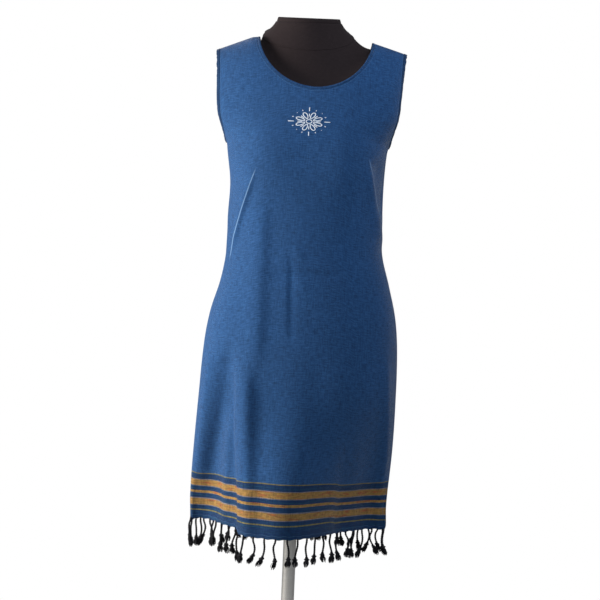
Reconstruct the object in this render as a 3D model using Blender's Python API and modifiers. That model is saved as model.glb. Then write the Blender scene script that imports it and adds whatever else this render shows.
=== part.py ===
"""A sleeveless beach dress with a fringed hem, on a limbless dress form with a round stand.

Metres, +Z up. The front faces -Y, and the origin lies under the middle of the round base.
"""
import math

import bmesh
import bpy
from mathutils import Matrix, Vector

# Heights above the floor
HEM_HEIGHT = 0.500
SLIT_TOP = 0.743
UNDERARM_HEIGHT = 1.234
TURN_HEIGHT = 1.305
NECK_POINT_HEIGHT = 1.440
FRONT_NECK_HEIGHT = 1.327
BACK_NECK_HEIGHT = 1.396
FORM_BOTTOM = 0.740

# The dress's cut and walls; below the flare's top the panels' edges hang out flat, like wings
WALL = 0.0015
GAP = 0.0003
SEAM_HALF = 0.00015
NECK_HALF_WIDTH = 0.1125
LEFT_SHOULDER_SLOPE = 0.385
RIGHT_SHOULDER_SLOPE = 0.285
CREST_SLOPE = 0.10
ARMHOLE_DEPTH_SHARE = 0.50
ROUNDNESS = 0.8
SHOULDER_HALF_WIDTH = 0.1755
NECK_SHIFT = 0.012
SHIFT_START = -0.2
SLIT_PARTING = 0.0030
SLIT_REACH = 10
TURN_START = 0.21
FLARE_TOP = 0.800
FRONT_FLARE = 1.0
BACK_FLARE = 0.6
HEM_SHIFT = -0.020

# Sections of the dress, from the hem up to where the cloth turns over the shoulders
SECTIONS = (
    # height, left half width, right half width, front depth, back depth
    (0.500, 0.1930, 0.1840, 0.150, 0.150),
    (0.550, 0.1955, 0.1840, 0.149, 0.150),
    (0.650, 0.1925, 0.1910, 0.146, 0.149),
    (0.750, 0.1875, 0.1930, 0.142, 0.148),
    (0.850, 0.1815, 0.1915, 0.136, 0.145),
    (0.910, 0.1720, 0.1850, 0.131, 0.138),
    (0.970, 0.1550, 0.1705, 0.124, 0.125),
    (1.030, 0.1460, 0.1550, 0.117, 0.112),
    (1.100, 0.1465, 0.1530, 0.114, 0.105),
    (1.160, 0.1450, 0.1530, 0.117, 0.105),
    (1.220, 0.1525, 0.1560, 0.118, 0.107),
    (1.234, 0.1542, 0.1585, 0.117, 0.1065),
    (1.305, 0.1690, 0.1730, 0.106, 0.105),
)

# The seam line of the armholes, where the binding meets the panels
ARMHOLES = (
    # height, left half width, right half width
    (1.234, 0.1542, 0.1585),
    (1.260, 0.1600, 0.1640),
    (1.285, 0.1660, 0.1700),
    (1.320, 0.1690, 0.1730),
    (1.360, 0.1705, 0.1755),
    (1.395, 0.1725, 0.1780),
    (1.419, 0.1740, 0.1800),
)

# Soft fullness over the bust of a general figure
BUST_RISE = 0.011
BUST_HALF_SPACING = 0.088
BUST_HEIGHT = 1.195
BUST_HALF_WIDTH = 0.052
BUST_HALF_HEIGHT = 0.072
BUST_EDGE_SHARE = 0.35

# The skirt's largest folds; across runs from -1 at the left side seam to 1 at the right one
FOLDS = (
    # side (-1 front, 1 back), top, full height, across at top, across at hem, rise, half width
    (-1, 0.88, 0.66, -0.74, -0.80, 0.0050, 0.085),
    (-1, 0.86, 0.66, -0.52, -0.56, -0.0070, 0.085),
    (-1, 0.82, 0.60, -0.36, -0.23, 0.0065, 0.075),
    (-1, 0.80, 0.56, 0.36, 0.52, 0.0060, 0.100),
    (-1, 0.84, 0.66, 0.72, 0.82, 0.0045, 0.080),
    (1, 0.90, 0.64, -0.62, -0.70, 0.0060, 0.100),
    (1, 0.88, 0.62, -0.38, -0.42, -0.0070, 0.095),
    (1, 0.84, 0.60, 0.10, 0.16, 0.0050, 0.110),
    (1, 0.88, 0.64, 0.52, 0.56, -0.0065, 0.095),
    (1, 0.82, 0.62, 0.78, 0.80, 0.0050, 0.080),
)

# Grid of each panel
HALF_COLUMNS = 14
NECK_COLUMNS = 6
BODY_ROWS = 18
CHEST_ROWS = 6
STRAP_ROWS = 7
BOWL_ROW = BODY_ROWS + CHEST_ROWS
TOP_ROW = BOWL_ROW + STRAP_ROWS
CHEST_ROW_POWER = 1.6
FAN_START = -0.5
BOWL_ANGLE = math.radians(48)

# Bindings
ARMHOLE_BINDING_WIDTH = 0.0080
NECK_BINDING_WIDTH = 0.0050
BINDING_THICKNESS = 0.0024
BINDING_RISE = 0.0005
EDGE_TAPER = 0.7

# Fringe of twisted and knotted warp ends
TASSELS_PER_PANEL = 24
STRIP_HEIGHT = 0.0030
STRIP_THICKNESS = 0.0012
ROOT_HALF_WIDTH = 0.0018
TASSEL_LENGTH = 0.050
LENGTH_VARIATION = 0.0025
LENGTH_STEP = 1.9
BACK_SWAY = 0.006
SWAY_STEP = 2.3
SWAY_CURVE = 1.5
TASSEL_LEAN = 0.0015
TASSEL_SECTIONS = (
    # share of the length, half thickness
    (0.12, 0.0014),
    (0.62, 0.0015),
    (0.74, 0.0034),
    (0.83, 0.0018),
    (1.00, 0.0042),
)
# How far the tip of each tassel in front has swung to the right, from the left side to the right
FRONT_SWAY = (0.004, -0.002, 0.005, -0.011, 0.002, 0.002, -0.004, -0.002, -0.009, -0.006, -0.010, -0.004,
              0.003, -0.003, 0.002, -0.002, 0.004, 0.004, 0.004, 0.006, -0.004, -0.008, 0.010, 0.006)

# How far the form lies inside the dress's wall
FORM_EASE = (
    # height, ease
    (0.740, 0.0260),
    (0.820, 0.0120),
    (0.910, 0.0050),
    (1.000, 0.0120),
    (1.060, 0.0180),
    (1.130, 0.0120),
    (1.220, 0.0060),
    (1.305, 0.0050),
)
SHOULDER_EASE = 0.0075
CONTACT_EASE = 0.0006
CONTACT_START = 0.6
CONTACT_RISE = 0.3
CONTACT_COLUMNS = 3
FORM_ROW_STEP = 2

# The form's neck, from its base seam up to the slanted cap
NECK_RINGS = (
    # height at the sides, half width, half depth, middle's depth, slant in degrees
    (1.4475, 0.0885, 0.0740, 0.004, 29),
    (1.4550, 0.0805, 0.0690, 0.003, 24),
    (1.4640, 0.0705, 0.0640, 0.002, 18),
    (1.4740, 0.0640, 0.0610, 0.000, 13.4),
)
NECK_MIDDLE = -0.005
UPPER_CHEST_RINGS = 2
NECK_FLARE_POWER = 2.0
CAP_SLANT = math.radians(13.4)
CAP_THICKNESS = 0.0085
CAP_BOTTOM_RADIUS = 0.0625
CAP_TOP_RADIUS = 0.0605
CAP_SIDES = 48

# Stand
BASE_PROFILE = (
    # radius, height
    (0.000, 0.016),
    (0.032, 0.016),
    (0.150, 0.011),
    (0.176, 0.008),
    (0.180, 0.004),
    (0.180, 0.000),
    (0.000, 0.000),
)
SOCKET_PROFILE = (
    (0.000, 0.0400),
    (0.018, 0.0400),
    (0.024, 0.0340),
    (0.032, 0.0163),
    (0.000, 0.0163),
)
TURNED_STEPS = 48
POLE_RADIUS = 0.0125
POLE_SIDES = 32
PLATE_RADIUS = 0.055
PLATE_THICKNESS = 0.010
PLATE_SIDES = 40
EDGE_BEVEL = 0.0010

MERGE_DISTANCE = 0.00001
ROW_TOLERANCE = 0.00001
SHARP_ANGLE = math.radians(40)

FINISHES = {
    # name: colour, roughness, metallic
    "blue_cotton": ((0.026, 0.085, 0.205), 0.90, 0.0),
    "dark_binding": ((0.017, 0.060, 0.150), 0.90, 0.0),
    "black_cotton_yarn": ((0.010, 0.010, 0.012), 0.92, 0.0),
    "black_jersey": ((0.022, 0.018, 0.021), 0.85, 0.0),
    "black_enamel": ((0.020, 0.020, 0.021), 0.40, 0.0),
    "brushed_steel": ((0.550, 0.550, 0.540), 0.35, 1.0),
}


def clear_scene():
    """Removes every object of the starting scene."""
    for item in list(bpy.data.objects):
        bpy.data.objects.remove(item, do_unlink=True)


def make_material(name):
    """A Principled material with one of the finishes above."""
    colour, roughness, metallic = FINISHES[name]
    material = bpy.data.materials.get(name)
    if material is None:
        material = bpy.data.materials.new(name)
        material.use_nodes = True
        shader = material.node_tree.nodes["Principled BSDF"]
        shader.inputs["Base Color"].default_value = (*colour, 1.0)
        shader.inputs["Roughness"].default_value = roughness
        shader.inputs["Metallic"].default_value = metallic
        material.diffuse_color = (*colour, 1.0)
    return material


def add_object(name, bm, finish, collection):
    """Turns a bmesh into a named, smooth-shaded object with its material."""
    bmesh.ops.recalc_face_normals(bm, faces=bm.faces)
    mesh = bpy.data.meshes.new(name)
    bm.to_mesh(mesh)
    bm.free()
    mesh.shade_smooth()
    mesh.set_sharp_from_angle(angle=SHARP_ANGLE)
    mesh.materials.append(make_material(finish))
    item = bpy.data.objects.new(name, mesh)
    collection.objects.link(item)
    return item


def blend(start, end, share):
    """A value on the way from start to end."""
    return start + (end - start) * share


def smooth_step(value):
    """Rises softly from 0 to 1 as the value does."""
    value = min(1.0, max(0.0, value))
    return value * value * (3.0 - 2.0 * value)


def slope_at(table, row, column):
    """The slope of a column at one of a table's rows, from the rows on both sides."""
    before = table[max(row - 1, 0)]
    after = table[min(row + 1, len(table) - 1)]
    return (after[column] - before[column]) / (after[0] - before[0])


def read_table(table, height, column):
    """Reads a column on a smooth curve through the rows, whose first column is the height."""
    height = min(table[-1][0], max(table[0][0], height))
    row = 0
    while row < len(table) - 2 and height > table[row + 1][0]:
        row += 1
    low, high = table[row], table[row + 1]
    run = high[0] - low[0]
    t = (height - low[0]) / run
    return ((2 * t ** 3 - 3 * t ** 2 + 1) * low[column] + (3 * t ** 2 - 2 * t ** 3) * high[column]
            + (t ** 3 - 2 * t ** 2 + t) * run * slope_at(table, row, column)
            + (t ** 3 - t ** 2) * run * slope_at(table, row + 1, column))


def crest_height(x):
    """The height of the shoulder line at a distance from the middle, which rises to the neck."""
    past_neck = abs(x) - NECK_HALF_WIDTH
    slope = LEFT_SHOULDER_SLOPE if x < 0 else RIGHT_SHOULDER_SLOPE
    return NECK_POINT_HEIGHT - past_neck * (slope if past_neck > 0 else CREST_SLOPE)


def turn_angle(depth_share):
    """The angle round a section at which its depth has fallen to a share of the middle's."""
    return math.acos(depth_share ** (1.0 / ROUNDNESS))


def share_at(across):
    """The share of a row's turn that lies at a distance from the middle, near the shoulders."""
    edge_angle = turn_angle(ARMHOLE_DEPTH_SHARE)
    return math.asin(across / SHOULDER_HALF_WIDTH * math.sin(edge_angle)) / edge_angle


def neck_level(side, angle):
    """The level of the neckline at an angle round its half oval, 0 at the lowest point."""
    lowest = FRONT_NECK_HEIGHT if side < 0 else BACK_NECK_HEIGHT
    height = blend(NECK_POINT_HEIGHT, lowest, math.cos(angle))
    crest = crest_height(NECK_HALF_WIDTH * math.sin(angle))
    risen = blend(math.sin(TURN_START), 1.0, (height - TURN_HEIGHT) / (crest - TURN_HEIGHT))
    return 1.0 + (math.asin(min(1.0, risen)) - TURN_START) / (math.pi / 2 - TURN_START)


def neck_angle(row, column):
    """The angle round the neckline of one of its places: its bowl below, then its two sides."""
    if abs(column) < NECK_COLUMNS or row <= BOWL_ROW:
        return BOWL_ANGLE * abs(column) / NECK_COLUMNS
    return blend(BOWL_ANGLE, math.pi / 2, (row - BOWL_ROW) / STRAP_ROWS)


def grid_place(side, row, column):
    """The share across and the level of a grid point, both worked out from its row and column."""
    steps = abs(column)
    angle = neck_angle(row, min(steps, NECK_COLUMNS))
    top_level = neck_level(side, angle)
    top_share = share_at(NECK_HALF_WIDTH * math.sin(angle))
    if steps > NECK_COLUMNS:
        top_share = blend(top_share, 1.0, (steps - NECK_COLUMNS) / (HALF_COLUMNS - NECK_COLUMNS))
    if row <= BODY_ROWS:
        level = row / BODY_ROWS - 1.0
    else:
        level = top_level * min(1.0, (row - BODY_ROWS) / CHEST_ROWS) ** CHEST_ROW_POWER
    fanned = smooth_step((level - FAN_START) / (top_level - FAN_START))
    return math.copysign(blend(steps / HALF_COLUMNS, top_share, fanned), column), level


def fold_rise(side, share, height):
    """How far the skirt's folds lift the cloth at a place."""
    rise = 0.0
    for fold_side, top, full, at_top, at_hem, depth, half_width in FOLDS:
        if fold_side == side and height < top:
            strength = smooth_step((top - height) / (top - full))
            middle = blend(at_top, at_hem, (top - height) / (top - HEM_HEIGHT))
            rise += depth * strength * math.exp(-((share - middle) / half_width) ** 2)
    return rise


def bust_rise(x, height):
    """The soft fullness that the cut gives over the bust."""
    across = (abs(x) - BUST_HALF_SPACING) / BUST_HALF_WIDTH
    up = (height - BUST_HEIGHT) / BUST_HALF_HEIGHT
    return BUST_RISE * math.exp(-across ** 2 - up ** 2)


def dress_point(side, share, level):
    """A point on the cloth's outer face.

    Side is -1 in front and 1 behind. Share runs from -1 at the left edge to 1 at the right one, and
    level from -1 at the hem through 0 at the underarm and 1, where the cloth turns, to 2 on top.
    """
    turn = blend(TURN_START, math.pi / 2, max(0.0, level - 1.0))
    risen = (math.sin(turn) - math.sin(TURN_START)) / (1.0 - math.sin(TURN_START))
    if level <= 0:
        height = blend(UNDERARM_HEIGHT, HEM_HEIGHT, -level)
        left, right = (read_table(SECTIONS, height, item) for item in (1, 2))
        edge_angle = math.pi / 2
    else:
        height = blend(UNDERARM_HEIGHT, TURN_HEIGHT, min(level, 1.0))
        tip = crest_height(ARMHOLES[-1][1])
        edge_height = height if level <= 1 else blend(TURN_HEIGHT, tip, risen)
        left, right = (read_table(ARMHOLES, edge_height, item) for item in (1, 2))
        rounding = math.sqrt(level * (2.0 - level)) if level <= 1 else 1.0
        edge_angle = turn_angle(ARMHOLE_DEPTH_SHARE * rounding)
    upright = math.cos(turn) / math.cos(TURN_START)
    reach = read_table(SECTIONS, height, 3 if side < 0 else 4) * upright

    across = math.sin(edge_angle * share) / math.sin(edge_angle)
    forward = math.cos(edge_angle * share) ** ROUNDNESS
    flare = smooth_step((FLARE_TOP - height) / (FLARE_TOP - HEM_HEIGHT))
    flare *= FRONT_FLARE if side < 0 else BACK_FLARE
    forward = blend(forward, 0.5 + 0.5 * math.cos(math.pi * across), flare)
    x = across * (left if share < 0 else right)
    shift = NECK_SHIFT * smooth_step((level - SHIFT_START) / (1.0 - SHIFT_START))
    x += (shift + HEM_SHIFT * flare) * (1.0 - share ** 2)
    depth = reach * forward
    if side < 0:
        depth += bust_rise(x, height) * upright * smooth_step((1.0 - abs(share)) / BUST_EDGE_SHARE)
    if level > 1:
        height = blend(TURN_HEIGHT, crest_height(x), risen)

    rise = fold_rise(side, share, height)
    x += rise * across * (1.0 - flare)
    depth += rise * blend(forward, 1.0, flare) + SEAM_HALF
    if height < SLIT_TOP:
        parting = ((SLIT_TOP - height) / (SLIT_TOP - HEM_HEIGHT)) ** 2
        depth += SLIT_PARTING * parting * abs(share) ** SLIT_REACH
    return Vector((x, side * depth, height))


def on_seam(row, column):
    """Whether a point lies on the side seam or the shoulder seam, where two panels meet."""
    at_side = abs(column) == HALF_COLUMNS and row <= BODY_ROWS
    at_shoulder = abs(column) >= NECK_COLUMNS and row == TOP_ROW
    return at_side or at_shoulder


def make_sheet(side):
    """One panel as a grid laid on the dress's form, with its points and normals by place."""
    bm = bmesh.new()
    bmesh.ops.create_grid(bm, x_segments=2 * HALF_COLUMNS, y_segments=TOP_ROW, size=0.5)
    places = {}
    notch = []
    for vert in bm.verts:
        column = round(vert.co.x * 2 * HALF_COLUMNS)
        row = round((vert.co.y + 0.5) * TOP_ROW)
        if row > BOWL_ROW and abs(column) < NECK_COLUMNS:
            notch.append(vert)
        else:
            places[row, column] = vert
            vert.co = dress_point(side, *grid_place(side, row, column))
    bmesh.ops.delete(bm, geom=notch, context="VERTS")
    if side > 0:
        bmesh.ops.reverse_faces(bm, faces=bm.faces)
    bm.normal_update()
    skin = {}
    for place, vert in places.items():
        normal = vert.normal.copy()
        if on_seam(*place):
            normal.y = 0.0
            normal.normalize()
        skin[place] = (vert.co.copy(), normal)
    return bm, skin


def make_panel(name, side, collection):
    """A cloth panel: the sheet, given its wall by an extrusion along the normals."""
    bm, skin = make_sheet(side)
    inner = {point.to_tuple(): point - normal * WALL for point, normal in skin.values()}
    result = bmesh.ops.extrude_face_region(bm, geom=list(bm.faces))
    for item in result["geom"]:
        if isinstance(item, bmesh.types.BMVert):
            item.co = inner[item.co.to_tuple()]
    add_object(name, bm, "blue_cotton", collection)
    return skin


def bridge(bm, low, high):
    """Joins two rings of corners with quads."""
    for i in range(len(low)):
        after = (i + 1) % len(low)
        bm.faces.new((low[i], low[after], high[after], high[i]))


def make_binding(name, skin_points, inward, width, collection):
    """A flat ring sewn along a closed edge, from the edge's points and the directions back inward."""
    bm = bmesh.new()
    rings = []
    count = len(skin_points)
    for i, (point, normal) in enumerate(skin_points):
        along = skin_points[(i + 1) % count][0] - skin_points[i - 1][0]
        away = along.cross(normal).normalized()
        if away.dot(inward[i]) > 0:
            away = -away
        near = point + away * GAP
        far = point + away * (GAP + width)
        top = normal * BINDING_RISE
        bottom = normal * (BINDING_RISE - BINDING_THICKNESS)
        rings.append((near + top, far + top * EDGE_TAPER, far + bottom * EDGE_TAPER, near + bottom))
    rows = [[bm.verts.new(corner) for corner in ring] for ring in rings]
    for row, after in zip(rows, rows[1:] + rows[:1]):
        bridge(bm, row, after)
    add_object(name, bm, "dark_binding", collection)


def edge_loop(front, back, places):
    """Points and normals round an opening: up the front's places, then down the back's."""
    points, inward = [], []
    for skin, order in ((front, places), (back, places[::-1])):
        for place, neighbour in order:
            point, normal = skin[place]
            if on_seam(*place):
                if skin is back:
                    continue
                point = Vector((point.x, 0.0, point.z))
            points.append((point, normal))
            inward.append(skin[neighbour][0] - point)
    return points, inward


def make_armhole_binding(name, hand, front, back, collection):
    """The binding round one armhole; hand is -1 on the left and 1 on the right."""
    column = hand * HALF_COLUMNS
    places = [((row, column), (row, column - hand)) for row in range(BODY_ROWS, TOP_ROW + 1)]
    places[0] = ((BODY_ROWS, column), (BODY_ROWS - 1, column))
    points, inward = edge_loop(front, back, places)
    make_binding(name, points, inward, ARMHOLE_BINDING_WIDTH, collection)


def neckline():
    """The neckline's rows and columns: down the left side, across the bowl and up the right."""
    down = [(row, -NECK_COLUMNS) for row in range(TOP_ROW, BOWL_ROW, -1)]
    across = [(BOWL_ROW, column) for column in range(-NECK_COLUMNS, NECK_COLUMNS + 1)]
    up = [(row, NECK_COLUMNS) for row in range(BOWL_ROW + 1, TOP_ROW + 1)]
    return down + across + up


def make_neck_binding(name, front, back, collection):
    """The narrow turned edge round the neck."""
    places = []
    for row, column in neckline():
        outward = int(math.copysign(1, column)) if abs(column) == NECK_COLUMNS else 0
        places.append(((row, column), (row if outward else row - 1, column + outward)))
    points, inward = edge_loop(front, back, places)
    make_binding(name, points, inward, NECK_BINDING_WIDTH, collection)


def hem_path(skin):
    """The hem's points and normals from left to right, with the distance along it."""
    path = []
    length = 0.0
    for column in range(-HALF_COLUMNS, HALF_COLUMNS + 1):
        point, normal = skin[0, column]
        if path:
            length += (point - path[-1][1]).length
        path.append((length, point, normal))
    return path


def read_path(path, distance):
    """The point and normal at a distance along a path."""
    i = 0
    while i < len(path) - 2 and distance > path[i + 1][0]:
        i += 1
    start, point, normal = path[i]
    end, next_point, next_normal = path[i + 1]
    share = (distance - start) / (end - start)
    return point.lerp(next_point, share), normal.lerp(next_normal, share).normalized()


def tassel_sway(side, number):
    """How far a tassel's tip has swung along the hem."""
    if side < 0:
        return FRONT_SWAY[number]
    return BACK_SWAY * math.sin(SWAY_STEP * number)


def make_fringe(name, side, skin, collection):
    """A narrow strip just under the hem, with the knotted strands drawn down out of it."""
    path = hem_path(skin)
    spacing = path[-1][0] / TASSELS_PER_PANEL
    middles = [(number + 0.5) * spacing for number in range(TASSELS_PER_PANEL)]
    stops = [0.0]
    for middle in middles:
        stops += [middle - ROOT_HALF_WIDTH, middle + ROOT_HALF_WIDTH]
    stops.append(path[-1][0])

    bm = bmesh.new()
    bottom = Vector((0, 0, -GAP - STRIP_HEIGHT))
    inset = (WALL - STRIP_THICKNESS) / 2
    pairs = []
    for stop in stops:
        point, normal = read_path(path, stop)
        flat = Vector((normal.x, normal.y, 0.0)).normalized()
        outer = point - flat * inset + bottom
        pairs.append([bm.verts.new(outer), bm.verts.new(outer - flat * STRIP_THICKNESS)])
    faces = [bm.faces.new((a[0], a[1], b[1], b[0])) for a, b in zip(pairs, pairs[1:])]
    roots = faces[1::2]
    result = bmesh.ops.extrude_face_region(bm, geom=faces)
    risen = [item for item in result["geom"] if isinstance(item, bmesh.types.BMVert)]
    bmesh.ops.translate(bm, verts=risen, vec=(0, 0, STRIP_HEIGHT))

    for number, root in enumerate(roots):
        pull_strand(bm, root, path, middles[number], tassel_sway(side, number), number)
    add_object(name, bm, "black_cotton_yarn", collection)


def pull_strand(bm, root, path, middle, sway, number):
    """Draws one strand down from a face of the strip, through its knot to its brush end."""
    point, normal = read_path(path, middle)
    out = Vector((normal.x, normal.y, 0.0)).normalized()
    along = Vector((-out.y, out.x, 0.0))
    if along.x < 0:
        along = -along
    start = root.calc_center_median()
    length = TASSEL_LENGTH + LENGTH_VARIATION * math.sin(LENGTH_STEP * number)
    face = root
    for share, half in TASSEL_SECTIONS:
        face = bmesh.ops.extrude_discrete_faces(bm, faces=[face])["faces"][0]
        middle_point = (start + along * sway * share ** SWAY_CURVE
                        + out * TASSEL_LEAN * math.sin(math.pi * share + number)
                        - Vector((0, 0, length * share)))
        face_middle = face.calc_center_median()
        for vert in face.verts:
            offset = vert.co - face_middle
            vert.co = (middle_point + along * math.copysign(half, offset.dot(along))
                       + out * math.copysign(half, offset.dot(out)))


def form_ease(row, column, height):
    """The distance from the dress's wall in to the form."""
    if row <= BODY_ROWS:
        return read_table(FORM_EASE, height, 1)
    up = (row - BODY_ROWS) / (TOP_ROW - BODY_ROWS)
    ease = blend(read_table(FORM_EASE, height, 1), SHOULDER_EASE, smooth_step(up))
    past_neck = (abs(column) - NECK_COLUMNS) / CONTACT_COLUMNS
    held = smooth_step((up - CONTACT_START) / CONTACT_RISE) * smooth_step(past_neck)
    return blend(ease, CONTACT_EASE, held)


def form_point(skin, front, row, column):
    """A point of the form, inside the dress's wall; seams take the front's point for both sides."""
    point, normal = (front if on_seam(row, column) else skin)[row, column]
    inward = -normal
    if row < BODY_ROWS:
        inward.z = 0.0
        inward.normalize()
    inside = point + inward * (WALL + form_ease(row, column, point.z))
    if on_seam(row, column):
        inside.y = 0.0
    return inside


def neck_ring(height, half_width, half_depth, middle_depth, slant):
    """A slanted oval ring of the form's neck, in the order of the neckline's points."""
    ring = []
    for side, order in ((-1, neckline()[:-1]), (1, neckline()[:0:-1])):
        for row, column in order:
            angle = neck_angle(row, column)
            forward = side * half_depth * math.cos(angle)
            across = math.copysign(half_width * math.sin(angle), column)
            ring.append(Vector((NECK_MIDDLE + across, middle_depth + forward,
                                height + math.tan(math.radians(slant)) * forward)))
    return ring


def torso_body(bm, front, back):
    """The form's body from its flat bottom to the shoulders, with plain arm ends; gives its corners."""
    first = form_first_row()
    rows = list(range(first, BODY_ROWS, FORM_ROW_STEP)) + list(range(BODY_ROWS, TOP_ROW + 1))
    corners = {}
    for row in rows:
        for side, skin in ((-1, front), (1, back)):
            for column in range(-HALF_COLUMNS, HALF_COLUMNS + 1):
                if row <= BOWL_ROW or abs(column) >= NECK_COLUMNS:
                    corners[side, row, column] = bm.verts.new(form_point(skin, front, row, column))
    for low, high in zip(rows, rows[1:]):
        for side in (-1, 1):
            for column in range(-HALF_COLUMNS, HALF_COLUMNS):
                if high <= BOWL_ROW or not -NECK_COLUMNS <= column < NECK_COLUMNS:
                    places = ((low, column), (low, column + 1), (high, column + 1), (high, column))
                    bm.faces.new([corners[(side, *place)] for place in places])
        for column in (-HALF_COLUMNS, HALF_COLUMNS):
            bm.faces.new((corners[-1, low, column], corners[1, low, column],
                          corners[1, high, column], corners[-1, high, column]))
    columns = range(-HALF_COLUMNS, HALF_COLUMNS + 1)
    bm.faces.new([corners[-1, first, column] for column in columns]
                 + [corners[1, first, -column] for column in columns])
    return corners


def make_torso(name, front, back, collection):
    """The form: the dress's own sections, moved in, and a short neck that flares into them."""
    bm = bmesh.new()
    corners = torso_body(bm, front, back)
    collar = [corners[(-1, *place)] for place in neckline()[:-1]]
    collar += [corners[(1, *place)] for place in neckline()[:0:-1]]
    base_ring = neck_ring(*NECK_RINGS[0])
    neck = []
    for step in range(1, UPPER_CHEST_RINGS + 1):
        share = step / (UPPER_CHEST_RINGS + 1)
        ring = [vert.co.lerp(point, share) for vert, point in zip(collar, base_ring)]
        for point, vert, target in zip(ring, collar, base_ring):
            point.z = blend(vert.co.z, target.z, share ** NECK_FLARE_POWER)
        neck.append(ring)
    neck += [neck_ring(*row) for row in NECK_RINGS]
    neck_rows = [collar] + [[bm.verts.new(point) for point in ring] for ring in neck]
    for low, high in zip(neck_rows, neck_rows[1:]):
        bridge(bm, low, high)
    bm.faces.new(neck_rows[-1])
    bmesh.ops.remove_doubles(bm, verts=bm.verts, dist=MERGE_DISTANCE)
    bmesh.ops.dissolve_degenerate(bm, edges=bm.edges, dist=MERGE_DISTANCE)
    add_object(name, bm, "black_jersey", collection)


def round_disc(name, bottom_radius, top_radius, thickness, sides, finish, collection):
    """A round disc with softened edges, standing on its own origin."""
    bm = bmesh.new()
    bmesh.ops.create_cone(bm, cap_ends=True, segments=sides, radius1=bottom_radius,
                          radius2=top_radius, depth=thickness)
    bmesh.ops.translate(bm, verts=bm.verts, vec=(0, 0, thickness / 2))
    item = add_object(name, bm, finish, collection)
    bevel = item.modifiers.new("softened edges", "BEVEL")
    bevel.width = EDGE_BEVEL
    bevel.segments = 1
    return item


def make_neck_cap(collection):
    """The slanted disc that closes the neck."""
    height, _, _, middle_depth, _ = NECK_RINGS[-1]
    cap = round_disc("form_neck_cap", CAP_BOTTOM_RADIUS, CAP_TOP_RADIUS, CAP_THICKNESS, CAP_SIDES,
                     "black_jersey", collection)
    lift = Matrix.Rotation(CAP_SLANT, 3, "X") @ Vector((0, 0, GAP))
    cap.location = Vector((NECK_MIDDLE, middle_depth, height)) + lift
    cap.rotation_euler.x = CAP_SLANT


def turned_shape(name, profile, finish, collection):
    """A round shape turned from the radii and heights of its profile."""
    bm = bmesh.new()
    verts = [bm.verts.new((radius, 0, height)) for radius, height in profile]
    for start, end in zip(verts, verts[1:]):
        bm.edges.new((start, end))
    mesh = bpy.data.meshes.new(name)
    bm.to_mesh(mesh)
    bm.free()
    mesh.materials.append(make_material(finish))
    item = bpy.data.objects.new(name, mesh)
    collection.objects.link(item)
    turning = item.modifiers.new("turning", "SCREW")
    turning.steps = TURNED_STEPS
    turning.render_steps = TURNED_STEPS
    turning.use_merge_vertices = True
    turning.merge_threshold = MERGE_DISTANCE


def make_stand(collection):
    """A turned round base with a socket, a plain pole on it, and the plate that carries the form."""
    turned_shape("stand_base", BASE_PROFILE, "black_enamel", collection)
    turned_shape("pole_socket", SOCKET_PROFILE, "black_enamel", collection)
    plate_bottom = form_bottom() - GAP - PLATE_THICKNESS
    plate = round_disc("form_base_plate", PLATE_RADIUS, PLATE_RADIUS, PLATE_THICKNESS, PLATE_SIDES,
                       "black_enamel", collection)
    plate.location.z = plate_bottom
    pole_bottom = SOCKET_PROFILE[0][1] + GAP
    pole = round_disc("stand_pole", POLE_RADIUS, POLE_RADIUS, plate_bottom - GAP - pole_bottom,
                      POLE_SIDES, "brushed_steel", collection)
    pole.location.z = pole_bottom


def form_first_row():
    """The first row of the dress that lies at or above the form's bottom."""
    row_height = (UNDERARM_HEIGHT - HEM_HEIGHT) / BODY_ROWS
    return math.ceil((FORM_BOTTOM - HEM_HEIGHT) / row_height - ROW_TOLERANCE)


def form_bottom():
    """The height of that row."""
    return blend(HEM_HEIGHT, UNDERARM_HEIGHT, form_first_row() / BODY_ROWS)


def main():
    """Builds the dress, its form and its stand."""
    clear_scene()
    collection = bpy.data.collections.new("beach_dress_on_form")
    bpy.context.scene.collection.children.link(collection)
    front = make_panel("front_panel", -1, collection)
    back = make_panel("back_panel", 1, collection)
    make_neck_binding("neck_binding", front, back, collection)
    make_armhole_binding("armhole_binding_left", -1, front, back, collection)
    make_armhole_binding("armhole_binding_right", 1, front, back, collection)
    make_fringe("fringe_front", -1, front, collection)
    make_fringe("fringe_back", 1, back, collection)
    make_torso("form_torso", front, back, collection)
    make_neck_cap(collection)
    make_stand(collection)


main()
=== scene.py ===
# %% [markdown]
# # A beach dress on a dress form
#
# The dress is a sleeveless shift of plain-woven cotton: a blue weft on a black warp, ochre stripes
# along the border, and the warp ends twisted and knotted into a fringe. It hangs on a black,
# limbless dress form with a pole and a round base. The construction is already there as solids.
# This lesson gives each of them its looks, one piece after another, in the same place.

# %% Load the frame
import math

import bpy
import numpy as np
from mathutils import Matrix, Vector, noise


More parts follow.
